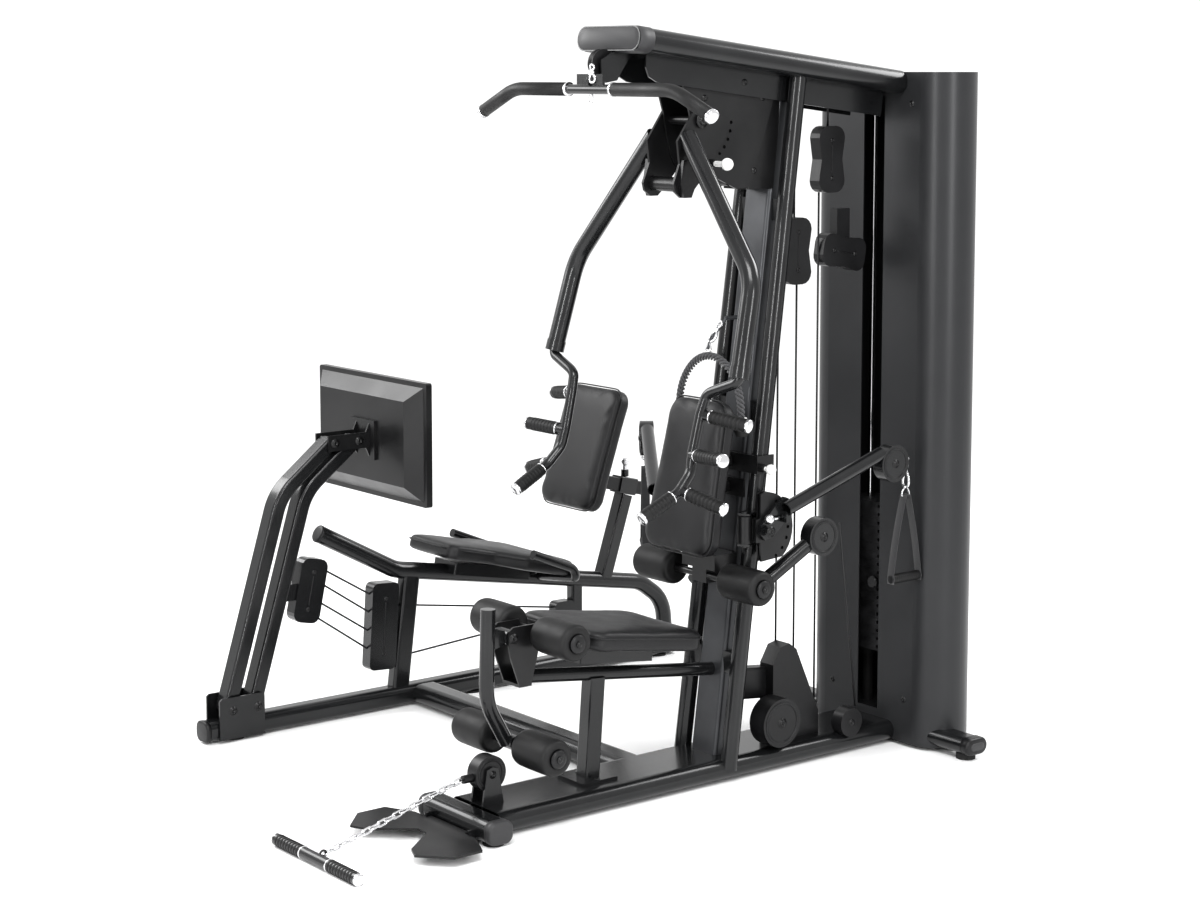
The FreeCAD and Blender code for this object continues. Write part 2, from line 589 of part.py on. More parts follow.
# ---------------------------------------------------------------- press station
def make_press():
    """Bracket plates on the column, the yoke that turns on them, two arms and two handles."""
    y, z = size("press_y"), size("press_z")
    half, plate = size("bracket_half"), size("plate")
    holes = []
    for step in range(5):
        angle = math.radians(-3 - 11.5 * step)
        holes.append((y + size("hole_arc") * math.cos(angle), z + size("hole_arc") * math.sin(angle), 5))
    under_front, under_rear = boom_point(205, 20), boom_point(565, 20)
    outline = [(under_front.y, under_front.z), (under_rear.y, under_rear.z), (215, 1960), (107, 1654),
               (55, 1652), (-60, 1702), (-84, 1740), (-98, 1790), (-113, 1860), (-137, 1937)]
    cheek = flat_plate("bracket_cheek", outline, "plate", half - plate, holes)
    box = section_bar("bracket_box_tube", (104, 124, 10), (0, 162, 1648), (0, 162, 1990))
    bolt = cylinder("press_bolt", "press_pin_radius", 2 * (half - plate), (plate - half, y, z), (1, 0, 0))
    tips = [cylinder(f"press_bolt_tip{side}", "press_pin_radius", 24, (side * (half - plate), y, z), (side, 0, 0))
            for side in (-1, 1)]
    bumper = cylinder("press_bumper", 16, 104, (-52, 34, 1676), (1, 0, 0))
    box = cut("bracket_box_trim", box, BOOM, COLUMN)
    cheeks = cut("bracket_trim", mirrored_pair("bracket_pair", cheek), BOOM)
    node(weld("bracket_weld", cheeks, box, bolt, *tips, bumper), "press_bracket")

    inner, thick = size("cheek_half"), size("cheek_thick")
    bore = size("press_pin_radius") + size("running_gap")
    arc = [(y + 100 * math.cos(a), z + 100 * math.sin(a)) for a in (math.radians(-2 - 6.6 * n) for n in range(9))]
    outline = [(-102, 1872), (-60, 1874), (0, 1850), *arc, (-34, 1712), (-64, 1696), (-106, 1652), (-126, 1634),
               (-152, 1634), (-172, 1650), (-177, 1671), (-155, 1725), (-163, 1786)]
    side = flat_plate("yoke_cheek", outline, thick, inner, [(y, z, bore)])
    lug_outline = [(-112, 1735), (-152, 1735), (-162, 1670), (-150, 1634), (-124, 1634), (-112, 1660)]
    lug = flat_plate("yoke_lug", lug_outline, 14, inner + thick - 1)
    gap = size("running_gap")
    barrel = turned("yoke_barrel", [(8 + gap, 0), (12, 0), (12, 30), (8 + gap, 30)],
                    (inner + thick, -54, 1724), (1, 0, 0))
    hole = cylinder("yoke_pin_hole", 5 + gap, 40, (inner - 10, -54, 1724), (1, 0, 0))
    half_yoke = cut("yoke_bored", weld("yoke_half", side, lug), hole)
    cross = cylinder("yoke_cross", "press_tube", 2 * inner + 2, (-inner - 1, -138, 1668), (1, 0, 0))
    node(weld("press_yoke_weld", mirrored_pair("yoke_pair", half_yoke), barrel, cross), "press_yoke")
    arm_points = [(inner + thick, -129, 1800), (375, -165, 1440), (393, -221, 1213)]
    arm = bent_tube("press_arm_tube", arm_points, "arm_radius", 150)
    inside = block("press_arm_clip", 2 * (inner + thick), 200, 200, 0, -129, 1700)
    node(cut("press_arm_trim", mirrored_pair("press_arm_pair", arm), inside), "press_arms")
    stem = 62
    outline = [(0, 0), (5, 0), (5, thick), (8, thick), (8, thick + stem), *ball_outline(17, 8, thick + stem)]
    node(turned("press_knob_turned", outline, (inner, -54, 1724), (1, 0, 0)), "press_knob")
    make_handles(Vector(*arm_points[2]), Vector(*arm_points[2]) - Vector(*arm_points[1]))


def ball_outline(ball, neck, at):
    """Outline points of a ball that stands on a round neck."""
    steps, low = 10, math.asin(neck / ball)
    centre = at + ball * math.cos(low)
    angles = [low + (math.pi - low) * step / steps for step in range(1, steps)]
    return [(ball * math.sin(a), centre - ball * math.cos(a)) for a in angles] + [(0, centre + ball)]


def make_handles(end, way):
    """The hanging handle: a collar on the arm's end, a bent tube and four gripped stubs."""
    way.normalize()
    radius = size("handle_radius")
    bends = [(300, -242, 1140), (284, -244, 1128), (277, -256, 1085), (274, -281, 981), (280, -292, 929),
             (285, -338, 882), (275, -453, 825)]
    points = [end + way * 4, end + way * 40] + [Vector(*bend) for bend in bends]
    tube = bent_tube("handle_tube", points, "handle_radius", 60, wall=False)
    stubs = [((279, -252, 1079), (416, -210, 1060)), ((274, -283, 975), (420, -303, 980)),
             ((284, -330, 886), (420, -297, 852))]
    bars = [round_bar(f"handle_stub{n}", "handle_radius", a, b) for n, (a, b) in enumerate(stubs)]
    collar = cylinder("handle_collar", 27, 30, end + way * 0.4, way)
    handle = weld("handle_weld", tube, *bars, collar)
    spans = [(*stubs[0], 0.2, 0.97), (*stubs[1], 0.2, 0.97), (*stubs[2], 0.2, 0.97),
             (points[-2], points[-1], 0.2, 0.97)]
    grips = []
    for number, (a, b, first, last) in enumerate(spans):
        a, b = Vector(*a), Vector(*b)
        grips.append(round_bar(f"grip{number}", "grip_radius", a + (b - a) * first, a + (b - a) * last, bore=radius))
    grip_group = cut("grip_trim", group("grip_group", *grips), tube)
    node(handle, "right_handle")
    node(grip_group, "right_grips")
    node(mirror("handle_mirror", handle), "left_handle")
    node(mirror("grip_mirror", grip_group), "left_grips")


make_press()


# ---------------------------------------------------------------- pulldown
def make_pulldown():
    """The wide bar with its hanger plate and ring, its grips, and the wheel above it."""
    y, z = size("lat_y"), size("lat_z")
    half, tip_x, tip_z = size("lat_half"), size("lat_tip_x"), size("lat_tip_z")
    points = [(-tip_x, y, tip_z), (-half, y, z), (half, y, z), (tip_x, y, tip_z)]
    bar = bent_tube("lat_tube", points, "bar_radius", 90, wall=False)
    hanger = flat_plate("lat_hanger_plate", [(y - 4, z), (y + 4, z), (y + 4, z + 40), (y - 4, z + 40)], 110, -55)
    ring = doc.addObject("Part::Torus", "lat_ring")
    ring.Radius1, ring.Radius2 = 11, 3.5
    ring.Placement = aim(Vector(0, y, z + 24), Vector(1, 0, 0))
    node(weld("lat_bar_weld", bar, hanger, ring), "lat_bar")
    grips = []
    for side in (-1, 1):
        bend, tip = Vector(side * half, y, z), Vector(side * tip_x, y, tip_z)
        grips.append(round_bar(f"lat_grip{side}", "bar_grip_radius", bend + (tip - bend) * 0.4,
                               bend + (tip - bend) * 0.98, bore="bar_radius"))
    node(group("lat_grip_group", *grips), "lat_bar_grips")
    at = nose_wheel()
    node(wheel("lat_wheel_turned", size("lat_wheel_radius"), *at), "lat_wheel")


make_pulldown()


# ---------------------------------------------------------------- bench
def soft_block(name, width, depth, height, corner, edge=10):
    """A pad: a rounded block with softened edges, local Z through its thickness."""
    body = doc.addObject("PartDesign::Body", name)
    sketch = new_sketch(body, f"{name}_outline")
    sketch.addGeometry(round_rect(width, depth, corner), False)
    pad = body.newObject("PartDesign::Pad", f"{name}_pad")
    pad.Profile = sketch
    pad.Length = height
    doc.recompute()
    rims = [f"Edge{n}" for n, item in enumerate(pad.Shape.Edges, start=1)
            if abs(item.BoundBox.ZLength) < 1e-6]
    soft = body.newObject("PartDesign::Fillet", f"{name}_soft")
    soft.Base = (pad, rims)
    soft.Radius = edge
    return body


def make_seat():
    """The seat beam with its post, and the tilted seat cushion on it."""
    beam = round_bar("seat_beam_tube", "beam_radius", (0, -650, 386), (0, 60, 296), bore="beam_radius - wall")
    space = round_bar("seat_beam_space", "beam_radius", (0, -650, 386), (0, 60, 296))
    post = section_bar("seat_post_tube", (48, 48, 6), (0, -417, TOP - 4), (0, -396, 345))
    shoe = block("seat_post_shoe", 110, 120, 8, 0, -417, TOP)
    rest = section_bar("seat_rest", (90, 250, 6), (0, -350, 385), (0, -345, 428), hollow=False)
    others = cut("seat_post_trim", weld("seat_post_weld", post, shoe, rest), space)
    node(cut("seat_frame_trim", weld("seat_frame_weld", beam, others), BASE_RAIL, COLUMN), "seat_frame")
    tilt = Rotation(Vector(1, 0, 0), -size("seat_tilt"))
    seat = soft_block("seat_cushion", size("seat_width"), size("seat_length"), size("seat_thick"), 45, 18)
    corner = Vector(0, size("seat_front_y"), size("seat_front_z"))
    seat.Placement = Placement(corner + tilt.multVec(Vector(0, size("seat_length") / 2, 0)), tilt)
    node(cut("seat_trim", seat, space, rest), "seat_pad")
    return group("bench_space", space, rest)


def make_back_pad():
    """The back cushion, the bracket that slides along the struts, and its pull knob."""
    lean = Rotation(Vector(1, 0, 0), 90 - size("pad_lean"))
    thick, height = size("pad_thick"), size("pad_height")
    along = lean.multVec(Vector(0, 1, 0))
    behind = lean.multVec(Vector(0, 0, -1))
    low = Vector(0, size("pad_face_y"), size("pad_low_z"))
    back = soft_block("back_cushion", size("pad_width"), height, thick, 55, 18)
    back.Placement = Placement(low + along * (height / 2) + behind * thick, lean)
    node(back, "back_pad")
    board = section_bar("back_board", (150, 8, 2), low + along * 70 + behind * (thick + 4),
                        low + along * 360 + behind * (thick + 4), hollow=False)
    pieces = [board]
    for number, (z, across) in enumerate(((820, 160), (890, 246))):
        rear = Vector(0, strut_at(z).y - 32, z)
        front = low + along * ((z - low.z) / along.z) + behind * (thick + 6)
        pieces.append(section_bar(f"back_arm{number}", (44, 30, 6), front, rear, hollow=False))
        pieces.append(block(f"back_cross{number}", across, 6, 50, 0, rear.y, z - 25))
    for side in (-1, 1):
        at = strut_at(890)
        pieces.append(block(f"back_wing{side}", 6, 62, 50, side * 123, at.y - 4, 865))
    barrel = turned("pad_knob_barrel", [(6.06, 0), (12, 0), (12, 22), (6.06, 22)], (124, 92, 882), (1, 0, 0))
    hole = cylinder("pad_knob_hole", 5.06, 40, (100, 92, 882), (1, 0, 0))
    node(weld("back_bracket_weld", cut("back_bracket_trim", weld("back_bracket", *pieces), hole), barrel),
         "back_pad_bracket")
    outline = [(0, 0), (5, 0), (5, 6), (6, 6), (6, 34), *ball_outline(15, 6, 34)]
    node(turned("pad_knob_turned", outline, (120.5, 92, 882), (1, 0, 0)), "pad_knob")


def make_lever(bench):
    """The leg developer: bracket with the knee rollers, swinging lever and ankle rollers."""
    knee_y, knee_z = size("knee_y"), size("knee_z")
    outer, length = size("roller_outer"), size("foam_length")
    lever_y, lever_z = size("lever_y"), size("lever_z")
    outline = [(-705, 480), (-705, 520), (-690, 530), (-620, 530), (-606, 470), (-632, 372), (-672, 372),
               (-700, 450)]
    cheeks = [flat_plate(f"lever_cheek{x}", outline, "plate", x) for x in (-38, 32)]
    knee_shaft = cylinder("knee_shaft", "shaft_radius", 2 * outer + 20, (-outer - 10, knee_y, knee_z), (1, 0, 0))
    lever_pin = cylinder("lever_pin", 8, 76, (-38, lever_y, lever_z), (1, 0, 0))
    bridge = block("lever_bridge", 76, 40, 8, 0, -652, 366)
    bracket = cut("lever_bracket_trim", weld("lever_bracket_weld", *cheeks, knee_shaft, lever_pin, bridge), bench)
    node(bracket, "lever_bracket")
    rollers = [foam(f"knee_foam{side}", outer - length, knee_y, knee_z, side) for side in (-1, 1)]
    node(group("knee_foam_pair", *rollers), "knee_rollers")

    ankle_y, ankle_z = size("ankle_y"), size("ankle_z")
    hub = turned("lever_hub", [(8.06, -29), (22, -29), (22, 29), (8.06, 29)], (0, lever_y, lever_z), (1, 0, 0))
    arm = bent_tube("lever_tube", [(0, -745, 580), (0, -752, 330), (0, ankle_y - 12, ankle_z)], "lever_radius", 160,
                    wall=False)
    tie = flat_plate("lever_tie", [(-748, 470), (-748, 530), (lever_y - 10, 518), (lever_y - 10, 482)], 30, -15)
    ankle_hub = cylinder("ankle_hub", "lever_radius", 60, (-30, ankle_y, ankle_z), (1, 0, 0))
    ankle_shaft = cylinder("ankle_shaft", "shaft_radius", 2 * outer + 20, (-outer - 10, ankle_y, ankle_z), (1, 0, 0))
    lever = weld("lever_weld", arm, hub, tie, ankle_hub, ankle_shaft)
    bore = cylinder("lever_bore", 8.06, 80, (-40, lever_y, lever_z), (1, 0, 0))
    node(cut("lever_bored", lever, bore), "leg_lever")
    rollers = [foam(f"ankle_foam{side}", outer - length, ankle_y, ankle_z, side) for side in (-1, 1)]
    node(group("ankle_foam_pair", *rollers), "ankle_rollers")

    hold_y, hold_z, reach = size("hold_y"), size("hold_z"), size("hold_outer")
    shaft = cylinder("hold_shaft", "shaft_radius", 2 * reach + 20, (-reach - 10, hold_y, hold_z), (1, 0, 0))
    bracket = block("hold_block", 140, 80, 44, 0, hold_y + 26, hold_z + 20)
    web = block("hold_web", 60, 60, 50, 0, hold_y + 20, hold_z - 20)
    node(cut("hold_trim", weld("hold_weld", shaft, bracket, web), COLUMN), "roller_bracket")
    rollers = [foam(f"hold_foam{side}", reach - length, hold_y, hold_z, side) for side in (-1, 1)]
    node(group("hold_foam_pair", *rollers), "hold_rollers")


def make_row_station():
    """The swivelling low pulley, its chain, the row bar and the folding foot rest."""
    wheel_y, wheel_z = size("low_wheel_y"), size("low_wheel_z")
    radius = size("low_wheel_radius")
    cover = wheel_cover("low_cover", radius, 0, wheel_y, wheel_z, 40)
    spout = cylinder("low_spout", 11, 34, (0, wheel_y - radius + 6, wheel_z - 6), (0, -1, 0))
    bore = cylinder("low_bore", 8 + size("running_gap"), 60, (-30, wheel_y, wheel_z), (1, 0, 0))
    node(cut("low_cover_bored", weld("low_cover_weld", cover, spout), bore), "low_pulley_housing")
    start, end = Vector(0, wheel_y - radius - 36, wheel_z - 6), Vector(-8, -1244, 25)
    way = end - start
    count = 2 * round(way.Length / 48)
    links = []
    for number in range(count):
        centre = start + way * ((number + 0.5) / count)
        link = doc.addObject("Part::Feature", f"chain_link{number}")
        link.Shape = chain_link(way.Length / count + 2 * 3.1, number % 2)
        link.Placement = aim(centre, way)
        links.append(link)
    node(group("chain_group", *links), "row_chain")
    bar = cylinder("row_tube", 16, 390, (-205, size("row_y"), size("row_z")), (1, 0, 0))
    eye = doc.addObject("Part::Torus", "row_eye")
    eye.Radius1, eye.Radius2 = 9, 3
    eye.Placement = aim(Vector(-8, size("row_y") + 18, size("row_z") + 10), Vector(1, 0, 0))
    node(weld("row_weld", bar, eye), "row_bar")

    half = [(86, -872), (86, -884), (140, -884), (225, -925), (225, -1010), (150, -1080), (105, -1060),
            (20, -955)]
    outline = half + [(-x, y) for x, y in reversed(half)]
    body = doc.addObject("PartDesign::Body", "wings_body")
    sketch = new_sketch(body, "wings_outline")
    sketch.addGeometry(polygon(outline), False)
    pad = body.newObject("PartDesign::Pad", "wings_pad")
    pad.Profile = sketch
    bind(pad, "Length", "plate")
    body.Placement.Base = Vector(0, 0, 24)
    hinge_y = size("rail_front") - size("crossbar_depth") - 12
    knuckle = turned("wings_knuckle", [(4.06, -88), (8, -88), (8, 88), (4.06, 88)], (0, hinge_y, 22), (1, 0, 0))
    bore = cylinder("wings_bore", 4.06, 240, (-120, hinge_y, 22), (1, 0, 0))
    node(cut("wings_bored", weld("wings_weld", body, knuckle), bore), "foot_wings")


def chain_link(length, turn):
    """A welded link: a rod bent into a long ring, drawn along Z, flat or edge on."""
    rod, half = 2.6, 6.5
    straight = length / 2 - half
    side = Vector(1, 0, 0) if turn else Vector(0, 1, 0)
    up = Vector(0, 0, 1)
    a, b = side * half + up * straight, side * -half + up * straight
    c, d = side * -half - up * straight, side * half - up * straight
    path = Part.Wire([Part.LineSegment(d, a).toShape(), Part.Arc(a, up * (straight + half), b).toShape(),
                      Part.LineSegment(b, c).toShape(), Part.Arc(c, up * (-straight - half), d).toShape()])
    circle = Part.Wire(Part.Circle(d, up, rod).toShape())
    return path.makePipeShell([circle], True, False)


BENCH = make_seat()
make_back_pad()
make_lever(BENCH)
make_row_station()


# ---------------------------------------------------------------- cable arms
def make_cable_arms():
    """Guide pulleys on the struts, swivelling yokes, swinging cable arms and hand grips."""
    x, thick = size("arm_x"), 6
    disc_y, disc_z, radius = size("disc_y"), size("disc_z"), size("disc_radius")
    swivel = Vector(size("swivel_x"), size("swivel_y"), disc_z)
    tube = round_bar("arm_bracket_tube", 21, (118, 60, 528), (160, 280, 675))
    cover = wheel_cover("arm_guide_cover", 54, 160, 285, 672, 40)
    pieces = [tube, cover]
    for number, z in enumerate((disc_z - 46, disc_z + 40)):
        at = strut_at(z)
        shelf = section_bar(f"swivel_shelf{number}", (thick, 36, 2), Vector(at.x + 8, at.y - 4, z + 3),
                            swivel + Vector(4, -8, z + 3 - disc_z), side=(0, 0, 1), hollow=False)
        pieces.append(shelf)
    pieces.append(cylinder("swivel_pin", 8, 100, swivel - Vector(0, 0, 50)))
    bracket = weld("arm_bracket_weld", *pieces)
    node(cut("arm_bracket_trim", mirrored_pair("arm_bracket_pair", bracket), STRUTS, COLUMN), "arm_brackets")

    gap = size("running_gap")
    sleeve = turned("yoke_sleeve", [(8 + gap, -38), (20, -38), (20, 38), (8 + gap, 38)], swivel, (0, 0, 1))
    inner_x, outer_x = 162, 174
    flat = disc_z - size("disc_flat")
    edge = [(disc_y + radius * math.cos(a), max(flat, disc_z + radius * math.sin(a)))
            for a in (math.radians(-50 + 10 * n) for n in range(15))]
    outline = [(disc_y - 14, disc_z + radius - 6), (disc_y - 14, disc_z + 34), (swivel.y + 6, disc_z + 32),
               (swivel.y + 6, disc_z - 32), (disc_y - 14, disc_z - 34), (disc_y - 10, flat)]
    holes = [(disc_y + 88 * math.cos(a), disc_z + 88 * math.sin(a), 5)
             for a in (math.radians(-60 + 20 * n) for n in range(7))]
    plates = [flat_plate(f"yoke_disc{number}", outline + edge, thick, at_x, holes)
              for number, at_x in enumerate((inner_x, outer_x))]
    pivot = cylinder("yoke_pivot", 9, 46, (inner_x, disc_y, disc_z), (1, 0, 0))
    web = block("yoke_web", 38, 12, 64, 161, swivel.y + 22, disc_z - 32)
    yoke = weld("yoke_weld", cut("yoke_plates_trim", group("yoke_plates", *plates), sleeve), pivot, sleeve,
                cut("yoke_web_trim", web, sleeve))
    yoke = cut("yoke_bored_full", yoke, cylinder("yoke_bore", 8 + gap, 120, swivel - Vector(0, 0, 60)))
    node(yoke, "right_arm_yoke")
    far_yoke = mirror("yoke_mirror", yoke)

    start, end = Vector(x, 115, 775), Vector(x, size("arm_end_y"), size("arm_end_z"))
    bend = Vector(x, 480, 893)
    tongue_x = outer_x + thick + 1
    outline = [(disc_y - 26, disc_z - 6), (disc_y - 8, disc_z - 26), (disc_y + 22, disc_z - 20), (152, 762),
               (158, 792), (124, 806), (92, 790), (disc_y - 22, disc_z + 16)]
    tongue = flat_plate("arm_tongue", outline, 12, tongue_x, [(disc_y, disc_z, 9 + gap)])
    arm = round_bar("cable_arm_tube", 20, start, bend, bore=16)
    space = round_bar("cable_arm_space", 20, start, bend)
    head = wheel_cover("cable_arm_cover", size("arm_cover_radius"), x, end.y, end.z, 40)
    arm = weld("cable_arm_weld", arm, cut("arm_tongue_trim", tongue, space), cut("arm_head_trim", head, space))
    pull = turned("arm_pull", [(0, 0), (5, 0), (5, 40), *ball_outline(14, 5, 40)], (197, 114, 752), (0, -1, 0))
    pull_block = block("arm_pull_block", 26, 20, 30, 198, 122, 738)
    arm = weld("cable_arm_full", arm, pull, cut("arm_pull_trim", pull_block, space))
    node(arm, "right_cable_arm")
    far_arm = mirror("cable_arm_mirror", arm)

    hang = Vector(x, end.y + 61.5, end.z + 6)
    stirrup = make_stirrup(hang)
    node(stirrup, "right_stirrup")
    far_stirrup = mirror("stirrup_mirror", stirrup)

    # the left arm is parked swung outwards on its swivel
    pivot = Vector(-swivel.x, swivel.y, disc_z)
    turn = Rotation(Vector(0, 0, 1), size("left_arm_turn"))
    for label, source in (("left_arm_yoke", far_yoke), ("left_cable_arm", far_arm),
                          ("left_stirrup", far_stirrup)):
        swung = group(f"{label}_swung", source)
        swung.Placement = Placement(pivot - turn.multVec(pivot), turn)
        node(swung, label)


def make_stirrup(hang):
    """A hand grip hung from a snap hook by two straps."""
    hook = cylinder("stirrup_hook", 6, 112, hang - Vector(0, 0, 112))
    knot = hang - Vector(0, 0, 108)
    grip_z = hang.z - 345
    half = 58
    straps = []
    for side in (-1, 1):
        end = Vector(hang.x, hang.y + side * half, grip_z)
        straps.append(section_bar(f"stirrup_strap{side}", (24, 4, 1.5), knot, end, hollow=False))
    grip = cylinder("stirrup_grip", 14, 2 * half, (hang.x, hang.y - half, grip_z), (0, 1, 0))
    eye = cylinder("stirrup_eye", 7, 24, hang - Vector(12, 0, 0), (1, 0, 0))
    return weld("stirrup_weld", hook, eye, *straps, grip)


make_cable_arms()


# ---------------------------------------------------------------- pulleys and cables of the stack
def make_pulley_housings():
    """Closed pulley covers: floating behind the column, and standing on the base rail."""
    hanging = [flat_plate(f"hanging_block{number}", cover_outline((y, z), (0, 1), 190, 100, 34, 10), 40, -20)
               for number, (y, z) in enumerate(((453, 1722), (326, 1465)))]
    low_block = flat_plate("low_hanging_block", cover_outline((507, 1454), (165, -28), 168, 96, 30, 6), 40, -20)
    strap = block("hanger_strap", 30, 50, 90, 0, 505, 1490)
    hanging.append(weld("low_hanging_weld", low_block, strap))
    outline = [(211, TOP), (388, TOP), (388, 130), (300, 325), (272, 345), (240, 338), (211, 290)]
    tall = flat_plate("tall_housing", outline, 56, -2)
    round_one = cylinder("round_housing", 70, 60, (62, 185, 141), (1, 0, 0))
    small = cylinder("small_housing", 42, 40, (82, 457, TOP + 30), (1, 0, 0))
    strut = section_bar("housing_strut", (46, 90, 8), (0, 60, 250), (0, 222, 232), hollow=False)
    standing = weld("standing_weld", tall, round_one, strut, small)
    standing = cut("standing_trim", standing, BASE_RAIL, COLUMN, STRUTS)
    node(group("housing_group", *hanging, standing), "pulley_housings")
    return group("housing_space", *hanging, tall, round_one)


def make_cables(housings):
    """Steel cable between the boom, the blocks and the base, and across the leg press."""
    runs = [((0, 268, 344), (0, 268, 1970)), ((0, 326, 1560), (0, 326, 1964)),
            ((0, 338, 240), (0, 338, 1372)), ((0, 453, 1817), (0, 453, 1950)),
            ((0, 421, TOP), (0, 421, 1628)), ((100, 492, TOP + 70), (160, 362, 700))]
    cables = [round_bar(f"cable{n}", "cable_radius", a, b) for n, (a, b) in enumerate(runs)]
    return cut("cable_trim", group("cable_group", *cables), BOOM, housings, REAR_BAR, COLUMN)


HOUSINGS = make_pulley_housings()
STACK_CABLES = make_cables(HOUSINGS)


# ---------------------------------------------------------------- leg press
def leg_link(name, foot_y, top_bore):
    """One of the two parallel links, flat in the machine's length, with a bend near its top."""
    dy, bend_z = size("link_bend_dy"), size("link_bend_z")
    top_dy, top_z, foot_z = size("link_top_dy"), size("link_top_z"), size("link_foot_z")
    points = [(RAIL_X, foot_y, foot_z), (RAIL_X, foot_y + dy, bend_z), (RAIL_X, foot_y + top_dy, top_z)]
    bar = bent_section(f"{name}_bar", points, 60, 44, 9, 160)
    spots = ((foot_y, foot_z, 8 + size("running_gap")), (foot_y + top_dy, top_z, top_bore))
    ends = [cylinder(f"{name}_boss{number}", 17, 60, (RAIL_X - 30, y, z), (1, 0, 0))
            for number, (y, z, bore) in enumerate(spots)]
    bores = [cylinder(f"{name}_bore{number}", bore, 80, (RAIL_X - 40, y, z), (1, 0, 0))
             for number, (y, z, bore) in enumerate(spots)]
    return weld(f"{name}_weld", bar, *ends), group(f"{name}_bores", *bores)


def make_links():
    """Ears on the rail, two parallel links, the carriage on their tops and the foot plate."""
    front_y, rear_y = size("front_foot_y"), size("rear_foot_y")
    foot_z, top_dy, top_z = size("link_foot_z"), size("link_top_dy"), size("link_top_z")
    outline = [(-933, 10), (-782, 10), (-782, 128), (-790, 135), (-925, 135), (-933, 128)]
    ears = [flat_plate(f"link_ear{x}", outline, "plate", RAIL_X + x) for x in (-42, 36)]
    pins = [cylinder(f"link_pin{n}", 8, 84, (RAIL_X - 42, y, foot_z), (1, 0, 0))
            for n, y in enumerate((front_y, rear_y))]
    tabs = cut("ear_tab_trim", block("ear_tabs", 84, 140, 12, RAIL_X, -858, MID), SIDE_RAIL)
    ears = weld("link_ear_weld", *ears, *pins, tabs)
    node(weld("side_rail_weld", SIDE_RAIL_TUBE, ears), "leg_press_rail")
    snug, loose = 8 + size("running_gap"), 8.5
    front, front_bores = leg_link("front_link", front_y, snug)
    rear, rear_bores = leg_link("rear_link", rear_y, loose)
    node(cut("front_link_bored", front, front_bores), "leg_press_front_link")
    arm_block = link_cover("arm_block")
    lug = flat_plate("arm_lug", [(-712, 390), (-630, 390), (-630, 440), (-700, 440)], 30, RAIL_X - 15)
    rear = weld("rear_link_full", rear, arm_block, lug)
    node(cut("rear_link_bored", rear, rear_bores), "leg_press_rear_link")

    y0, y1 = front_y + top_dy, rear_y + top_dy
    outline = [(y0 - 24, top_z - 24), (y1 + 24, top_z - 24), (-402, 806), (-402, 908), (y1 + 24, top_z + 24),
               (y0 - 24, top_z + 24)]
    cheeks = [flat_plate(f"carriage_cheek{x}", outline, "plate", RAIL_X + x) for x in (-38, 32)]
    top_pins = [cylinder("carriage_pin0", 8, 76, (RAIL_X - 38, y0, top_z), (1, 0, 0)),
                cylinder("carriage_pin1", 6.5, 76, (RAIL_X - 38, y1, top_z), (1, 0, 0))]
    flange = block("carriage_flange", 130, 8, 120, RAIL_X, -398, 797)
    node(weld("carriage_weld", *cheeks, *top_pins, flange), "leg_press_carriage")
    low, high = size("foot_plate_low"), size("foot_plate_high")
    centre = Vector(RAIL_X - 21, size("foot_plate_y"), (low + high) / 2)
    board = section_bar("foot_board", ("foot_plate_width", high - low, 8), centre - Vector(0, 10, 0),
                        centre + Vector(0, 10, 0), hollow=False)
    upright = Rotation(Vector(1, 0, 0), Vector(0, 0, -1), Vector(0, 1, 0))
    board.Placement = Placement(centre - Vector(0, 10, 0), upright)
    body = doc.addObject("Part::Wedge", "foot_plate_box")
    body.Ymin, body.Ymax = 0, 40
    body.Xmin, body.Xmax, body.Zmin, body.Zmax = -236, 236, -130, 130
    body.X2min, body.X2max, body.Z2min, body.Z2max = -286, 286, -174, 174
    body.Placement.Base = centre - Vector(0, 49, 0)
    node(weld("foot_plate_weld", board, body), "leg_press_foot_plate")


def post_cover(name):
    """The upright pulley cover in front of the seat post."""
    return flat_plate(name, cover_outline((-343.5, 265), (17, 270), 272, 96, 18), 44, RAIL_X - 22)


def link_cover(name):
    """The pulley cover that rides on the rear link."""
    return flat_plate(name, cover_outline((-605, 413), (40, 190), 196, 92, 26), 44, RAIL_X - 22)


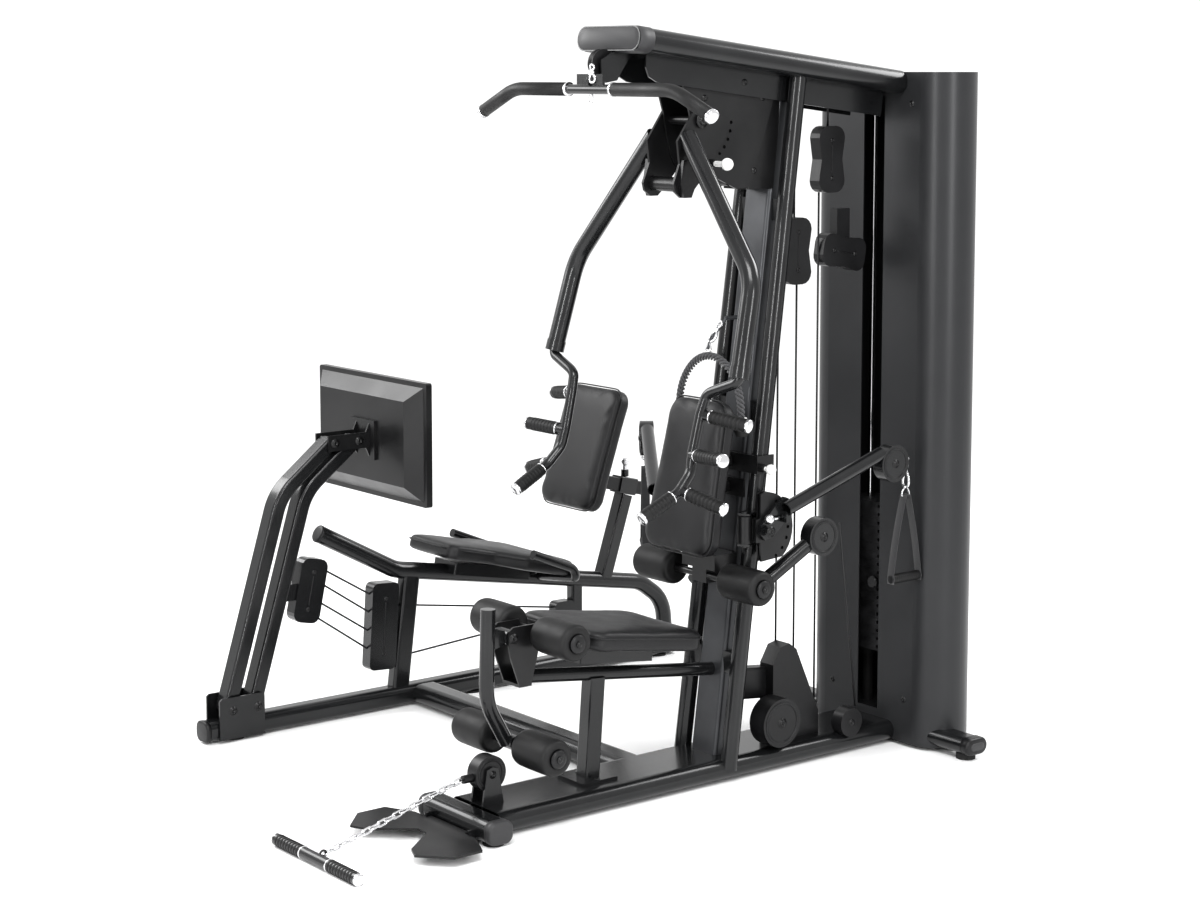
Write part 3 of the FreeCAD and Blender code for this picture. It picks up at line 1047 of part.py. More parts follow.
def make_leg_seat():
    """Seat tube on its posts, side handles, cushion, and the backrest that slides in a sleeve."""
    low_tube = [(RAIL_X, -560, 578), (RAIL_X, -289, 433), (RAIL_X, 688, 264), (RAIL_X, 790, 190),
                (RAIL_X, 800, TOP - 4)]
    tube = bent_tube("leg_seat_tube", low_tube, "low_tube", 140)
    space = bent_tube("leg_seat_space", low_tube, "low_tube", 140, wall=False)
    front_post = section_bar("leg_front_post", (44, 60, 10), (RAIL_X, -282, TOP - 6), (RAIL_X, -236, 415))
    rear_post = section_bar("leg_rear_post", (36, 44, 8), (RAIL_X, 414, TOP - 4), (RAIL_X, 414, 306))
    post_block = post_cover("post_block")
    small_block = flat_plate("leg_small_block", cover_outline((361, 215), (1, 0), 78, 60, 16), 36, RAIL_X - 18)
    rest = section_bar("leg_seat_rest", (120, 300, 6), (RAIL_X, 40, 375), (RAIL_X, 47, 412), hollow=False)
    back_post = section_bar("leg_back_upright", (50, 44, 6), (RAIL_X, 531, 300), (RAIL_X, 620, 570), hollow=False)
    slope = (Vector(RAIL_X, 700, 581) - Vector(RAIL_X, 500, 630)).normalize()
    middle = Vector(RAIL_X, 622, 600)
    sleeve = section_bar("back_sleeve", (56, 56, 6), middle - slope * 34, middle + slope * 34, hollow=False)
    seat = cut("leg_posts_trim", weld("leg_posts", front_post, rear_post, post_block, small_block, rest, back_post),
               space)
    handles = []
    for side in (-1, 1):
        x = RAIL_X + side * 222
        route = [(x, 80, 470), (x, 240, 404), (x, 252, 372), (RAIL_X + side * 20, 252, 346)]
        handles.append(bent_tube(f"side_handle{side}", route, "handle_radius", 40, wall=False))
    handles = cut("side_handle_trim", group("side_handles", *handles), space, rest)
    pin_hole = cylinder("leg_pin_hole", 5 + size("running_gap"), 60, middle + Vector(0, 4, 0))
    collar = turned("leg_pin_collar", [(8 + size("running_gap"), 0), (13, 0), (13, 22), (8 + size("running_gap"), 22)],
                    middle + Vector(0, 4, 30), (0, 0, 1))
    frame = weld("leg_frame_weld", tube, seat, handles, sleeve)
    inner = section_bar("back_sleeve_bore", (44.12, 44.12, 4), middle - slope * 120, middle + slope * 120,
                        hollow=False)
    frame = cut("leg_frame_bored", frame, inner, pin_hole, SIDE_RAIL)
    node(weld("leg_frame_full", frame, collar), "leg_press_frame")
    outline = [(0, 0), (5, 0), (5, 5), (8, 5), (8, 42), *ball_outline(14, 8, 42)]
    node(turned("leg_pin_turned", outline, middle + Vector(0, 4, 25), (0, 0, 1)), "leg_press_pin")

    seat_tilt = Rotation(Vector(1, 0, 0), -13)
    cushion = leg_cushion()
    cushion.Placement = Placement(Vector(RAIL_X, -172, size("leg_seat_z") + 32), seat_tilt)
    node(cut("leg_seat_trim", cushion, space, rest, handles), "leg_press_seat_pad")

    recline = Rotation(Vector(1, 0, 0), 90 - size("leg_back_recline"))
    centre = Vector(RAIL_X, size("leg_back_y"), size("leg_back_z"))
    thick = size("leg_back_thick")
    back = soft_block("leg_back_cushion", size("leg_back_width"), size("leg_back_height"), thick, 50, 18)
    back.Placement = Placement(centre + recline.multVec(Vector(0, 0, -thick / 2)), recline)
    node(back, "leg_press_back_pad")
    rear = recline.multVec(Vector(0, 0, -1))
    board = section_bar("leg_back_board", (200, 280, 10), centre + rear * (thick / 2), centre + rear * (thick / 2 + 12),
                        hollow=False)
    board.Placement = Placement(centre + rear * (thick / 2 + 12), recline)
    slide = section_bar("leg_back_tube", (44, 44, 4), middle - slope * 169, middle + slope * 83)
    node(cut("back_post_trim", weld("back_post_weld", slide, board), back), "leg_press_back_post")
    return space, post_block


def leg_cushion():
    """A seat pad that widens from its nose to its rear."""
    length = size("leg_seat_length")
    body = doc.addObject("PartDesign::Body", "leg_cushion_body")
    sketch = new_sketch(body, "leg_cushion_outline")
    outline = [(-110, 0), (110, 0), (128, 20), (135, 170), (200, 260), (205, length - 25), (180, length),
               (-180, length), (-205, length - 25), (-200, 260), (-135, 170), (-128, 20)]
    sketch.addGeometry(polygon(outline), False)
    pad = body.newObject("PartDesign::Pad", "leg_cushion_pad")
    pad.Profile = sketch
    bind(pad, "Length", "leg_seat_thick")
    return body


def make_leg_cables(space, post_block):
    """Four runs between the two pulley blocks, and two that lead to the rear."""
    cables = [round_bar(f"leg_cable{number}", "cable_radius", (RAIL_X, -598 + number * 10, z),
                        (RAIL_X, -352, 170 + number * 60)) for number, z in enumerate((340, 385, 440, 480))]
    cables.append(round_bar("leg_cable_top", "cable_radius", (RAIL_X, -340, 330), (RAIL_X, 340, 225)))
    cables.append(round_bar("leg_cable_low", "cable_radius", (RAIL_X, -340, 152), (RAIL_X, 340, 200)))
    link_block = link_cover("arm_block_space")
    posts = section_bar("front_post_space", (44, 60, 10), (RAIL_X, -282, TOP - 6), (RAIL_X, -236, 415), hollow=False)
    rear = flat_plate("small_block_space", cover_outline((361, 215), (1, 0), 78, 60, 16), 36, RAIL_X - 18)
    return cut("leg_cable_trim", group("leg_cable_group", *cables), link_block, post_block, posts, rear, space)


make_links()
LEG_SPACE, POST_BLOCK = make_leg_seat()
LEG_CABLES = make_leg_cables(LEG_SPACE, POST_BLOCK)
node(group("all_cables", STACK_CABLES, LEG_CABLES), "steel_cables")


# ---------------------------------------------------------------- triceps rope
ROPE_ROUTE = [(-174, 50, 975), (-173, 49, 1022), (-166, 46, 1066), (-148, 44, 1108), (-120, 42, 1143),
              (-84, 40, 1170), (-42, 40, 1184), (2, 42, 1180), (40, 45, 1160), (68, 48, 1128), (83, 50, 1088),
              (88, 51, 1050), (89, 52, 1014)]


def cord_path(points):
    """Straight runs joined by tangent arcs, each arc taking 0.45 of its shorter run."""
    corners = [Vector(*point) for point in points]
    edges, here, radii = [], corners[0], []
    for number in range(1, len(corners) - 1):
        corner = corners[number]
        back, ahead = corners[number - 1] - corner, corners[number + 1] - corner
        turn = math.pi - back.getAngle(ahead)
        reach = 0.45 * min(back.Length, ahead.Length)
        radius = reach / math.tan(turn / 2)
        radii.append(radius)
        back.normalize()
        ahead.normalize()
        first, last = corner + back * reach, corner + ahead * reach
        middle = corner + (back + ahead).normalize() * (radius / math.cos(turn / 2) - radius)
        edges += [Part.LineSegment(here, first).toShape(), Part.Arc(first, middle, last).toShape()]
        here = last
    edges.append(Part.LineSegment(here, corners[-1]).toShape())
    print("rope arc radii", [round(radius) for radius in radii])
    return Part.Wire(edges)


def make_rope():
    """The triceps rope, draped over its hook, with a rubber stop at each end."""
    radius = size("rope_radius")
    path = cord_path(ROPE_ROUTE)
    outer = Part.Wire(Part.Circle(Vector(), Vector(0, 0, 1), radius).toShape())
    rope = doc.addObject("Part::Feature", "rope_sweep")
    rope.Shape = swept(path, outer)
    node(rope, "triceps_rope")
    print("rope length", round(path.Length))
    ends = []
    for number, (tip, before) in enumerate(((ROPE_ROUTE[0], ROPE_ROUTE[1]), (ROPE_ROUTE[-1], ROPE_ROUTE[-2]))):
        way = (Vector(*tip) - Vector(*before)).normalize()
        outline = [(0, 0), (17, 0), (22, 8), (22, 30), (16, 44), (0, 44)]
        ends.append(turned(f"rope_stop{number}", outline, Vector(*tip), way))
    node(group("rope_stop_pair", *ends), "rope_ends")


make_rope()


# ---------------------------------------------------------------- check and write
def write_parts():
    doc.recompute()
    failed = [item.Name for item in doc.Objects if {"Invalid", "Error"} & set(item.State)]
    if failed:
        raise RuntimeError(f"failed objects: {failed}")
    labels = [item.Label for item in NODES]
    if len(set(labels)) != len(labels):
        raise RuntimeError("two sub-parts share a label")
    os.makedirs("parts", exist_ok=True)
    for item in NODES:
        shape = item.Shape
        if shape.isNull() or not shape.isValid() or not shape.Solids:
            raise RuntimeError(f"{item.Label} has no valid solid")
        shape.exportStep(f"parts/{item.Label}.step")
    print(f"{len(NODES)} sub-parts written")


write_parts()
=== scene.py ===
"""Looks of the multi station home gym: materials, soft goods, cables and small fittings."""
import math
import bmesh
import bpy
from mathutils import Matrix, Vector


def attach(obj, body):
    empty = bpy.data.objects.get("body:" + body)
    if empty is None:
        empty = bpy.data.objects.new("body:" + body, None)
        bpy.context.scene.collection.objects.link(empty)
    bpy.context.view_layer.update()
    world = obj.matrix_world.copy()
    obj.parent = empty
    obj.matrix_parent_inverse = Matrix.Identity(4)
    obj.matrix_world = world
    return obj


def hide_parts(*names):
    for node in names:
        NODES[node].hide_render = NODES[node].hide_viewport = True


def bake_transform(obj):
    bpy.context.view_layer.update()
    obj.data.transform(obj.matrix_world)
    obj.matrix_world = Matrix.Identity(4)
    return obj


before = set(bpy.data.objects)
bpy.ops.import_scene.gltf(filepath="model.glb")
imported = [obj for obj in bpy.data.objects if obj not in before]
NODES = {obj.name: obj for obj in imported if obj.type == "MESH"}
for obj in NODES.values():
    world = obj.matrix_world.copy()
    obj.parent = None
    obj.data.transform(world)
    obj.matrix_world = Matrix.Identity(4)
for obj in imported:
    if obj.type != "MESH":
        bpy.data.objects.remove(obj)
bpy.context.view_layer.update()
MM = 0.001


# ---------------------------------------------------------------- materials
def new_material(name, colour, roughness, metallic=0.0, coat=0.0, sheen=0.0):
    """A principled material whose constants sit on its own sockets."""
    material = bpy.data.materials.new(name)
    material.use_nodes = True
    shader = material.node_tree.nodes["Principled BSDF"]
    shader.inputs["Base Color"].default_value = (*colour, 1)
    shader.inputs["Roughness"].default_value = roughness
    shader.inputs["Metallic"].default_value = metallic
    shader.inputs["Specular IOR Level"].default_value = 0.32
    shader.inputs["Coat Weight"].default_value = coat
    shader.inputs["Coat Roughness"].default_value = 0.12
    shader.inputs["Sheen Weight"].default_value = sheen
    return material


def add_node(material, kind, **values):
    item = material.node_tree.nodes.new(kind)
    for name, value in values.items():
        if name in item.inputs:
            item.inputs[name].default_value = value
        else:
            setattr(item, name, value)
    return item


def link(material, source, target):
    material.node_tree.links.new(source, target)


def object_place(material, scale=(1, 1, 1)):
    """Coordinates in metres that ride with the piece."""
    place = add_node(material, "ShaderNodeTexCoord")
    mapping = add_node(material, "ShaderNodeMapping")
    mapping.inputs["Scale"].default_value = scale
    link(material, place.outputs["Object"], mapping.inputs["Vector"])
    return mapping.outputs["Vector"]


def noise(material, scale, detail=3.0, stretch=(1, 1, 1)):
    texture = add_node(material, "ShaderNodeTexNoise")
    texture.inputs["Scale"].default_value = scale
    texture.inputs["Detail"].default_value = detail
    link(material, object_place(material, stretch), texture.inputs["Vector"])
    return texture.outputs["Fac"]


def ramp(material, source, low, high, start=0.3, end=0.7):
    """Remap a 0 to 1 pattern to two grey values or two colours."""
    item = add_node(material, "ShaderNodeValToRGB")
    item.color_ramp.elements[0].position = start
    item.color_ramp.elements[1].position = end
    for element, value in zip(item.color_ramp.elements, (low, high)):
        element.color = (*value, 1) if isinstance(value, tuple) else (value, value, value, 1)
    link(material, source, item.inputs["Fac"])
    return item.outputs["Color"]


def bump(material, source, height, strength=1.0):
    item = add_node(material, "ShaderNodeBump")
    item.inputs["Distance"].default_value = height
    item.inputs["Strength"].default_value = strength
    link(material, source, item.inputs["Height"])
    shader = material.node_tree.nodes["Principled BSDF"]
    link(material, item.outputs["Normal"], shader.inputs["Normal"])
    return item


def vary(material, low, high, roughness, scale, stretch=(1, 1, 1)):
    """Slow variation of colour and roughness over a surface."""
    shader = material.node_tree.nodes["Principled BSDF"]
    pattern = noise(material, scale, 4.0, stretch)
    link(material, ramp(material, pattern, low, high), shader.inputs["Base Color"])
    link(material, ramp(material, pattern, *roughness), shader.inputs["Roughness"])


def powder_coat(name, low, high, roughness, metallic, coat=0.15):
    """Satin paint with a fine orange-peel texture."""
    material = new_material(name, high, roughness[1], metallic, coat)
    vary(material, low, high, roughness, 9.0)
    bump(material, noise(material, 900.0, 2.0), 0.00012, 0.35)
    return material


def polished(name, colour, roughness, scale):
    """Plated metal with faint polishing marks."""
    material = new_material(name, colour, roughness, 1.0)
    shader = material.node_tree.nodes["Principled BSDF"]
    marks = noise(material, scale, 3.0, (1, 1, 8))
    link(material, ramp(material, marks, roughness * 0.7, roughness * 1.6), shader.inputs["Roughness"])
    return material


def vinyl():
    """Upholstery vinyl: a pebbled grain and a soft sheen."""
    material = new_material("pad_vinyl", (0.010, 0.010, 0.011), 0.45)
    vary(material, (0.008, 0.008, 0.0085), (0.013, 0.013, 0.014), (0.36, 0.46), 14.0)
    cells = add_node(material, "ShaderNodeTexVoronoi")
    cells.inputs["Scale"].default_value = 620.0
    link(material, object_place(material), cells.inputs["Vector"])
    bump(material, cells.outputs["Distance"], 0.0004, 0.5)
    return material


def foam_rubber():
    """Closed-cell foam: matt, with fine pores."""
    material = new_material("foam_rubber", (0.007, 0.007, 0.0075), 0.55)
    vary(material, (0.005, 0.005, 0.005), (0.009, 0.009, 0.0095), (0.44, 0.56), 24.0)
    bump(material, noise(material, 1400.0, 3.0), 0.0003, 0.6)
    return material


def moulded(name, low, high, roughness):
    """Moulded plastic with a spark-eroded grain."""
    material = new_material(name, high, roughness[1])
    vary(material, low, high, roughness, 11.0)
    bump(material, noise(material, 1100.0, 2.0), 0.00015, 0.4)
    return material


def cast_iron():
    material = new_material("cast_iron", (0.03, 0.03, 0.032), 0.55, 0.5)
    vary(material, (0.018, 0.018, 0.019), (0.042, 0.042, 0.044), (0.45, 0.65), 30.0)
    bump(material, noise(material, 320.0, 5.0), 0.0005, 0.6)
    return material


def braid(name, low, high, scale):
    """Twisted fibre: two crossing bands of light and shade."""
    material = new_material(name, high, 0.8, 0.0, 0.0, 0.25)
    shader = material.node_tree.nodes["Principled BSDF"]
    pattern = noise(material, scale, 4.0)
    link(material, ramp(material, pattern, low, high), shader.inputs["Base Color"])
    bump(material, pattern, 0.0006, 0.7)
    return material


def webbing_cloth():
    """Woven strap: fine ribs across its length."""
    material = new_material("strap_webbing", (0.022, 0.022, 0.024), 0.75, 0.0, 0.0, 0.3)
    shader = material.node_tree.nodes["Principled BSDF"]
    ribs = add_node(material, "ShaderNodeTexWave", wave_type="BANDS", bands_direction="Z")
    ribs.inputs["Scale"].default_value = 160.0
    link(material, object_place(material), ribs.inputs["Vector"])
    link(material, ramp(material, ribs.outputs["Fac"], (0.012, 0.012, 0.013), (0.03, 0.03, 0.032)),
         shader.inputs["Base Color"])
    bump(material, ribs.outputs["Fac"], 0.0005, 0.8)
    return material


PAINT = powder_coat("satin_black_paint", (0.008, 0.0083, 0.009), (0.012, 0.0124, 0.013), (0.22, 0.26), 0.15, 0.3)
GRAPHITE = powder_coat("graphite_paint", (0.042, 0.043, 0.046), (0.060, 0.062, 0.066), (0.30, 0.40), 0.5, 0.1)
TOWER = powder_coat("shroud_paint", (0.026, 0.0265, 0.028), (0.028, 0.0285, 0.030), (0.33, 0.35), 0.2, 0.0)
DARK = powder_coat("black_paint", (0.007, 0.007, 0.0075), (0.012, 0.012, 0.0125), (0.28, 0.38), 0.1, 0.1)
CHROME = polished("chrome", (0.66, 0.66, 0.67), 0.12, 260.0)
STEEL = polished("brushed_steel", (0.62, 0.62, 0.63), 0.28, 420.0)
VINYL = vinyl()
FOAM = foam_rubber()
PLASTIC = moulded("black_plastic", (0.007, 0.007, 0.0075), (0.012, 0.012, 0.013), (0.34, 0.44))
CAP = moulded("end_cap_plastic", (0.034, 0.034, 0.035), (0.042, 0.042, 0.044), (0.42, 0.52))
WHITE = moulded("white_plastic", (0.72, 0.72, 0.71), (0.82, 0.82, 0.81), (0.18, 0.28))
IRON = cast_iron()
RUBBER = moulded("black_rubber", (0.010, 0.010, 0.010), (0.018, 0.018, 0.018), (0.65, 0.8))
CABLE = moulded("cable_coating", (0.012, 0.012, 0.013), (0.020, 0.020, 0.021), (0.35, 0.5))
ROPE = braid("rope_fibre", (0.016, 0.016, 0.017), (0.10, 0.10, 0.105), 900.0)
WEBBING = webbing_cloth()

NODE_MATERIALS = {
    "base_rail": PAINT, "crossbars": PAINT, "cross_link": PAINT, "leg_press_rail": PAINT,
    "rubber_feet_and_buffers": RUBBER, "upright_column": GRAPHITE, "side_struts": PAINT, "boom": PAINT,
    "tower_shroud": TOWER, "guide_rods": CHROME, "lower_weight_plates": IRON, "upper_weight_plates": IRON,
    "stack_head": IRON, "selector_pin": PLASTIC, "press_bracket": DARK, "press_yoke": DARK,
    "press_arms": PAINT, "right_handle": PAINT, "left_handle": PAINT, "press_knob": WHITE, "lat_bar": PAINT,
    "lat_wheel": PLASTIC, "seat_frame": PAINT, "back_pad_bracket": DARK, "pad_knob": WHITE,
    "lever_bracket": DARK, "leg_lever": PAINT, "roller_bracket": DARK, "low_pulley_housing": PLASTIC,
    "row_chain": CHROME, "row_bar": PAINT, "foot_wings": DARK, "arm_brackets": PAINT,
    "right_arm_yoke": DARK, "left_arm_yoke": DARK, "right_cable_arm": PAINT, "left_cable_arm": PAINT,
    "pulley_housings": PLASTIC, "steel_cables": CABLE, "leg_press_front_link": PAINT,
    "leg_press_rear_link": PAINT, "leg_press_carriage": DARK, "leg_press_foot_plate": DARK,
    "leg_press_frame": PAINT, "leg_press_back_post": DARK, "leg_press_pin": STEEL, "rope_ends": RUBBER,
    "lat_bar_grips": FOAM, "right_grips": FOAM, "left_grips": FOAM,
}


def dress_nodes():
    for name, material in NODE_MATERIALS.items():
        mesh = NODES[name].data
        mesh.materials.clear()
        mesh.materials.append(material)


# ---------------------------------------------------------------- mesh helpers
def finish_piece(obj, body, material, smooth=True, bevel=0.0):
    """Give a new piece its material and the body it rides on."""
    obj.data.materials.clear()
    obj.data.materials.append(material)
    if smooth and obj.type == "MESH":
        for face in obj.data.polygons:
            face.use_smooth = True
    if bevel:
        modifier = obj.modifiers.new("soft_edges", "BEVEL")
        modifier.width = bevel
        modifier.segments = 2
        modifier.harden_normals = True
    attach(obj, body)
    return obj


def mesh_object(name, mesh_build):
    """A mesh object whose geometry a function draws into a bmesh."""
    mesh = bpy.data.meshes.new(name)
    shape = bmesh.new()
    mesh_build(shape)
    bmesh.ops.recalc_face_normals(shape, faces=shape.faces)
    shape.to_mesh(mesh)
    shape.free()
    obj = bpy.data.objects.new(name, mesh)
    bpy.context.scene.collection.objects.link(obj)
    return obj


def turned(name, outline, at, direction, segments=48):
    """A solid of revolution from (radius, height) points, in millimetres, about direction at a point."""
    def build(shape):
        rings = []
        for radius, height in outline:
            if radius < 1e-6:
                rings.append([shape.verts.new((0, 0, height * MM))])
                continue
            rings.append([shape.verts.new((radius * MM * math.cos(turn), radius * MM * math.sin(turn), height * MM))
                          for turn in (2 * math.pi * n / segments for n in range(segments))])
        for low, high in zip(rings, rings[1:]):
            for n in range(segments):
                corners = [low[n % len(low)], low[(n + 1) % len(low)], high[(n + 1) % len(high)], high[n % len(high)]]
                unique = list(dict.fromkeys(corners))
                if len(unique) > 2:
                    shape.faces.new(unique)
    obj = mesh_object(name, build)
    obj.matrix_world = Matrix.Translation(Vector(at)) @ Vector((0, 0, 1)).rotation_difference(
        Vector(direction)).to_matrix().to_4x4()
    return obj


def wire(name, points, radius, body, material, order=3, cyclic=False):
    """A round wire along a smooth line."""
    curve = bpy.data.curves.new(name, "CURVE")
    curve.dimensions = "3D"
    curve.bevel_depth = radius
    curve.bevel_resolution = 4
    curve.resolution_u = 8
    curve.use_fill_caps = True
    spline = curve.splines.new("NURBS")
    spline.points.add(len(points) - 1)
    for slot_point, point in zip(spline.points, points):
        slot_point.co = (*point, 1)
    spline.order_u = order
    spline.use_endpoint_u = not cyclic
    spline.use_cyclic_u = cyclic
    obj = bpy.data.objects.new(name, curve)
    bpy.context.scene.collection.objects.link(obj)
    curve.materials.append(material)
    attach(obj, body)
    return obj


def mm(*values):
    return Vector(values) * MM


dress_nodes()


# ---------------------------------------------------------------- pads
def pad_mesh(name, outline, thick, edge, crown):
    """A crowned cushion over a closed outline, flat at its back and welted round its front edge.

    The outline is a list of (x, y) in millimetres; the face is at +Z, its back at z = 0."""
    levels = [(0.90, 0.0), (0.985, 0.02), (1.0, 0.16), (0.992, 0.45), (0.985, 0.62), (0.992, 0.74), (0.978, 0.86),
              (0.95, 0.945), (0.90, 0.985)]
    inward = [0.78, 0.62, 0.45, 0.28, 0.12]
    centre = Vector((sum(p[0] for p in outline) / len(outline), sum(p[1] for p in outline) / len(outline)))

    def ring_points(scale, height):
        points = []
        for x, y in outline:
            offset = Vector((x, y)) - centre
            pull = (1 - scale) * edge / 0.1
            length = max(offset.length - pull, 0.0)
            spot = centre + offset.normalized() * length
            points.append((spot.x * MM, spot.y * MM, height * MM))
        return points

    def build(shape):
        rings = [[shape.verts.new(p) for p in ring_points(scale, thick * share)] for scale, share in levels]
        for share in inward:
            lift = thick * 0.985 + crown * (1 - share) ** 0.5 * (1 - 0.25 * (1 - share))
            rings.append([shape.verts.new(((centre.x + (x - centre.x) * 0.9 * share) * MM,
                                           (centre.y + (y - centre.y) * 0.9 * share) * MM, lift * MM))
                          for x, y in outline])
        count = len(outline)
        for low, high in zip(rings, rings[1:]):
            for n in range(count):
                shape.faces.new((low[n], low[(n + 1) % count], high[(n + 1) % count], high[n]))
        shape.faces.new(list(reversed(rings[0])))
        shape.faces.new(rings[-1])
    return mesh_object(name, build)


def rounded_outline(width, height, corner, count=64, taper=0.0):
    """A rounded rectangle, narrower towards +Y by taper, as evenly turned points."""
    points = []
    half_w, half_h = width / 2 - corner, height / 2 - corner
    for quarter, (sx, sy) in enumerate(((1, 1), (-1, 1), (-1, -1), (1, -1))):
        for step in range(count // 4):
            angle = math.radians(90 * (quarter + step / (count / 4 - 1)))
            x = sx * half_w + corner * math.cos(angle)
            y = sy * half_h + corner * math.sin(angle)
            points.append((x * (1 - taper * (y / height + 0.5)), y))
    dense = []
    for a, b in zip(points, points[1:] + points[:1]):
        gap = math.dist(a, b)
        parts = max(1, int(gap / 18))
        dense += [(a[0] + (b[0] - a[0]) * k / parts, a[1] + (b[1] - a[1]) * k / parts) for k in range(parts)]
    return dense


def puff(obj, cap, pressure=4.0, voxel=0.006):
    """Fill a cushion: remesh it, blow it up as cloth, limit how far it moved, and smooth it."""
    remesh = obj.modifiers.new("remesh", "REMESH")
    remesh.mode = "VOXEL"
    remesh.voxel_size = voxel
    bpy.context.view_layer.objects.active = obj
    bpy.ops.object.modifier_apply(modifier="remesh")
    rest = [v.co.copy() for v in obj.data.vertices]
    cloth = obj.modifiers.new("cloth", "CLOTH")
    cloth.settings.use_pressure = True
    cloth.settings.uniform_pressure_force = pressure
    cloth.settings.effector_weights.gravity = 0
    cloth.settings.quality = 5
    cloth.point_cache.frame_start = 1
    cloth.point_cache.frame_end = 20
    for number in range(1, 21):
        bpy.context.scene.frame_set(number)
    shaped = obj.evaluated_get(bpy.context.evaluated_depsgraph_get()).to_mesh()
    moved = [v.co.copy() for v in shaped.vertices]
    obj.modifiers.remove(cloth)
    bpy.context.scene.frame_set(1)
    for vertex, before, after in zip(obj.data.vertices, rest, moved):
        step = after - before
        if step.length > cap:
            step *= cap / step.length
        vertex.co = before + step
    smooth = obj.modifiers.new("smooth", "SMOOTH")
    smooth.factor = 0.5
    smooth.iterations = 6
    bpy.ops.object.modifier_apply(modifier="smooth")
    return obj


def seam_loop(name, obj, outline, height, inset, body):
    """A sewn welt round a pad, a little inside its outline."""
    centre = Vector((sum(p[0] for p in outline) / len(outline), sum(p[1] for p in outline) / len(outline)))
    points = []
    for x, y in outline[::3]:
        offset = Vector((x, y)) - centre
        spot = centre + offset * (1 - inset / offset.length)
        points.append(obj.matrix_world @ Vector((spot.x * MM, spot.y * MM, height * MM)))
    welt = wire(name, points, 0.0022, body, VINYL, cyclic=True)
    return welt


def make_pad(name, node, body, outline, thick, crown, matrix):
    """One upholstered pad with its welt, standing for its CAD solid."""
    pad = pad_mesh(name, outline, thick - crown, 12, crown)
    puff(pad, 0.005)
    pad.matrix_world = matrix
    finish_piece(pad, body, VINYL)
    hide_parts(node)
    seam_loop(f"{name}_welt", pad, outline, (thick - crown) * 0.70, 1.5, body)
    return pad


def make_pads():
    tilt = Matrix.Rotation(math.radians(-8.3), 4, "X")
    corner = mm(0, -536, 465)
    seat = Matrix.Translation(corner) @ tilt @ Matrix.Translation(mm(0, 200, 2))
    make_pad("seat_cushion", "seat_pad", "frame", rounded_outline(354, 394, 42), 58, 9, seat)
    lean = Matrix.Rotation(math.radians(90 - 12), 4, "X")
    low = mm(0, -131, 651)
    behind = lean.to_3x3() @ Vector((0, 0, -1)) * 62 * MM
    back = Matrix.Translation(low + behind) @ lean @ Matrix.Translation(mm(0, 220, 0))
    make_pad("back_cushion", "back_pad", "back_rest", rounded_outline(289, 434, 52, taper=0.2), 62, 9, back)
    rail_x = -1140
    tilt = Matrix.Rotation(math.radians(-13), 4, "X")
    outline = [(-110, 0), (110, 0), (128, 20), (135, 170), (200, 260), (205, 430), (180, 455), (-180, 455),
               (-205, 430), (-200, 260), (-135, 170), (-128, 20)]
    dense = []
    for a, b in zip(outline, outline[1:] + outline[:1]):
        parts = max(1, int(math.dist(a, b) / 16))
        dense += [(a[0] + (b[0] - a[0]) * k / parts, a[1] + (b[1] - a[1]) * k / parts) for k in range(parts)]
    seat = Matrix.Translation(mm(rail_x, -172, 472)) @ tilt
    make_pad("leg_seat_cushion", "leg_press_seat_pad", "frame", dense, 50, 7, seat)
    recline = Matrix.Rotation(math.radians(90 - 19), 4, "X")
    centre = mm(rail_x, 452, 746)
    back = Matrix.Translation(centre) @ recline @ Matrix.Translation(mm(0, 0, -32.5))
    make_pad("leg_back_cushion", "leg_press_back_pad", "leg_back_rest", rounded_outline(284, 414, 48), 65, 9, back)


make_pads()


# ---------------------------------------------------------------- foam rollers
def roller(name, x_inner, y, z, side, body):
    """A foam sleeve with rolled ends and a plastic cap with a bolt on its outer end."""
    radius, length = 49.5, 150
    profile = [(11, 2), (28, 1), (38, 0.5), (45, 4), (48.5, 11), (radius, 24), (radius, length - 24),
               (48.5, length - 11), (45, length - 4), (38, length - 0.5), (28, length - 1), (11, length - 2), (11, 2)]
    start = mm(side * x_inner, y, z)
    sleeve = turned(name, profile, start, (side, 0, 0), 64)
    modifier = sleeve.modifiers.new("round", "SUBSURF")
    modifier.levels = modifier.render_levels = 1
    finish_piece(sleeve, body, FOAM)
    tip = start + Vector((side * length * MM, 0, 0))
    cap = turned(f"{name}_cap", [(9, -1), (24, -0.5), (25, 2), (23, 5), (16, 6.5), (9, 7), (0, 7)], tip, (side, 0, 0))
    finish_piece(cap, body, PLASTIC)
    bolt = turned(f"{name}_bolt", [(0, 6), (7.5, 6), (7.5, 10), (6, 12), (0, 12.5)], tip, (side, 0, 0), 24)
    finish_piece(bolt, body, DARK)
    return sleeve


def make_rollers():
    sets = (("knee", "knee_rollers", -613, 508, 62, "knee_roller_pair"),
            ("ankle", "ankle_rollers", -676, 215, 62, "ankle_roller_pair"),
            ("hold", "hold_rollers", -12, 576, 107, "hold_roller_pair"))
    for name, node, y, z, x_inner, body in sets:
        for side, word in ((1, "right"), (-1, "left")):
            sleeve = roller(f"{name}_roller_{word}", x_inner, y, z, side, body)
            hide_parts(node)


make_rollers()


# ---------------------------------------------------------------- triceps rope
ROPE_ROUTE = [(-174, 50, 975), (-173, 49, 1022), (-166, 46, 1066), (-148, 44, 1108), (-120, 42, 1143),
              (-84, 40, 1170), (-42, 40, 1184), (2, 42, 1180), (40, 45, 1160), (68, 48, 1128), (83, 50, 1088),
              (88, 51, 1050), (89, 52, 1014)]


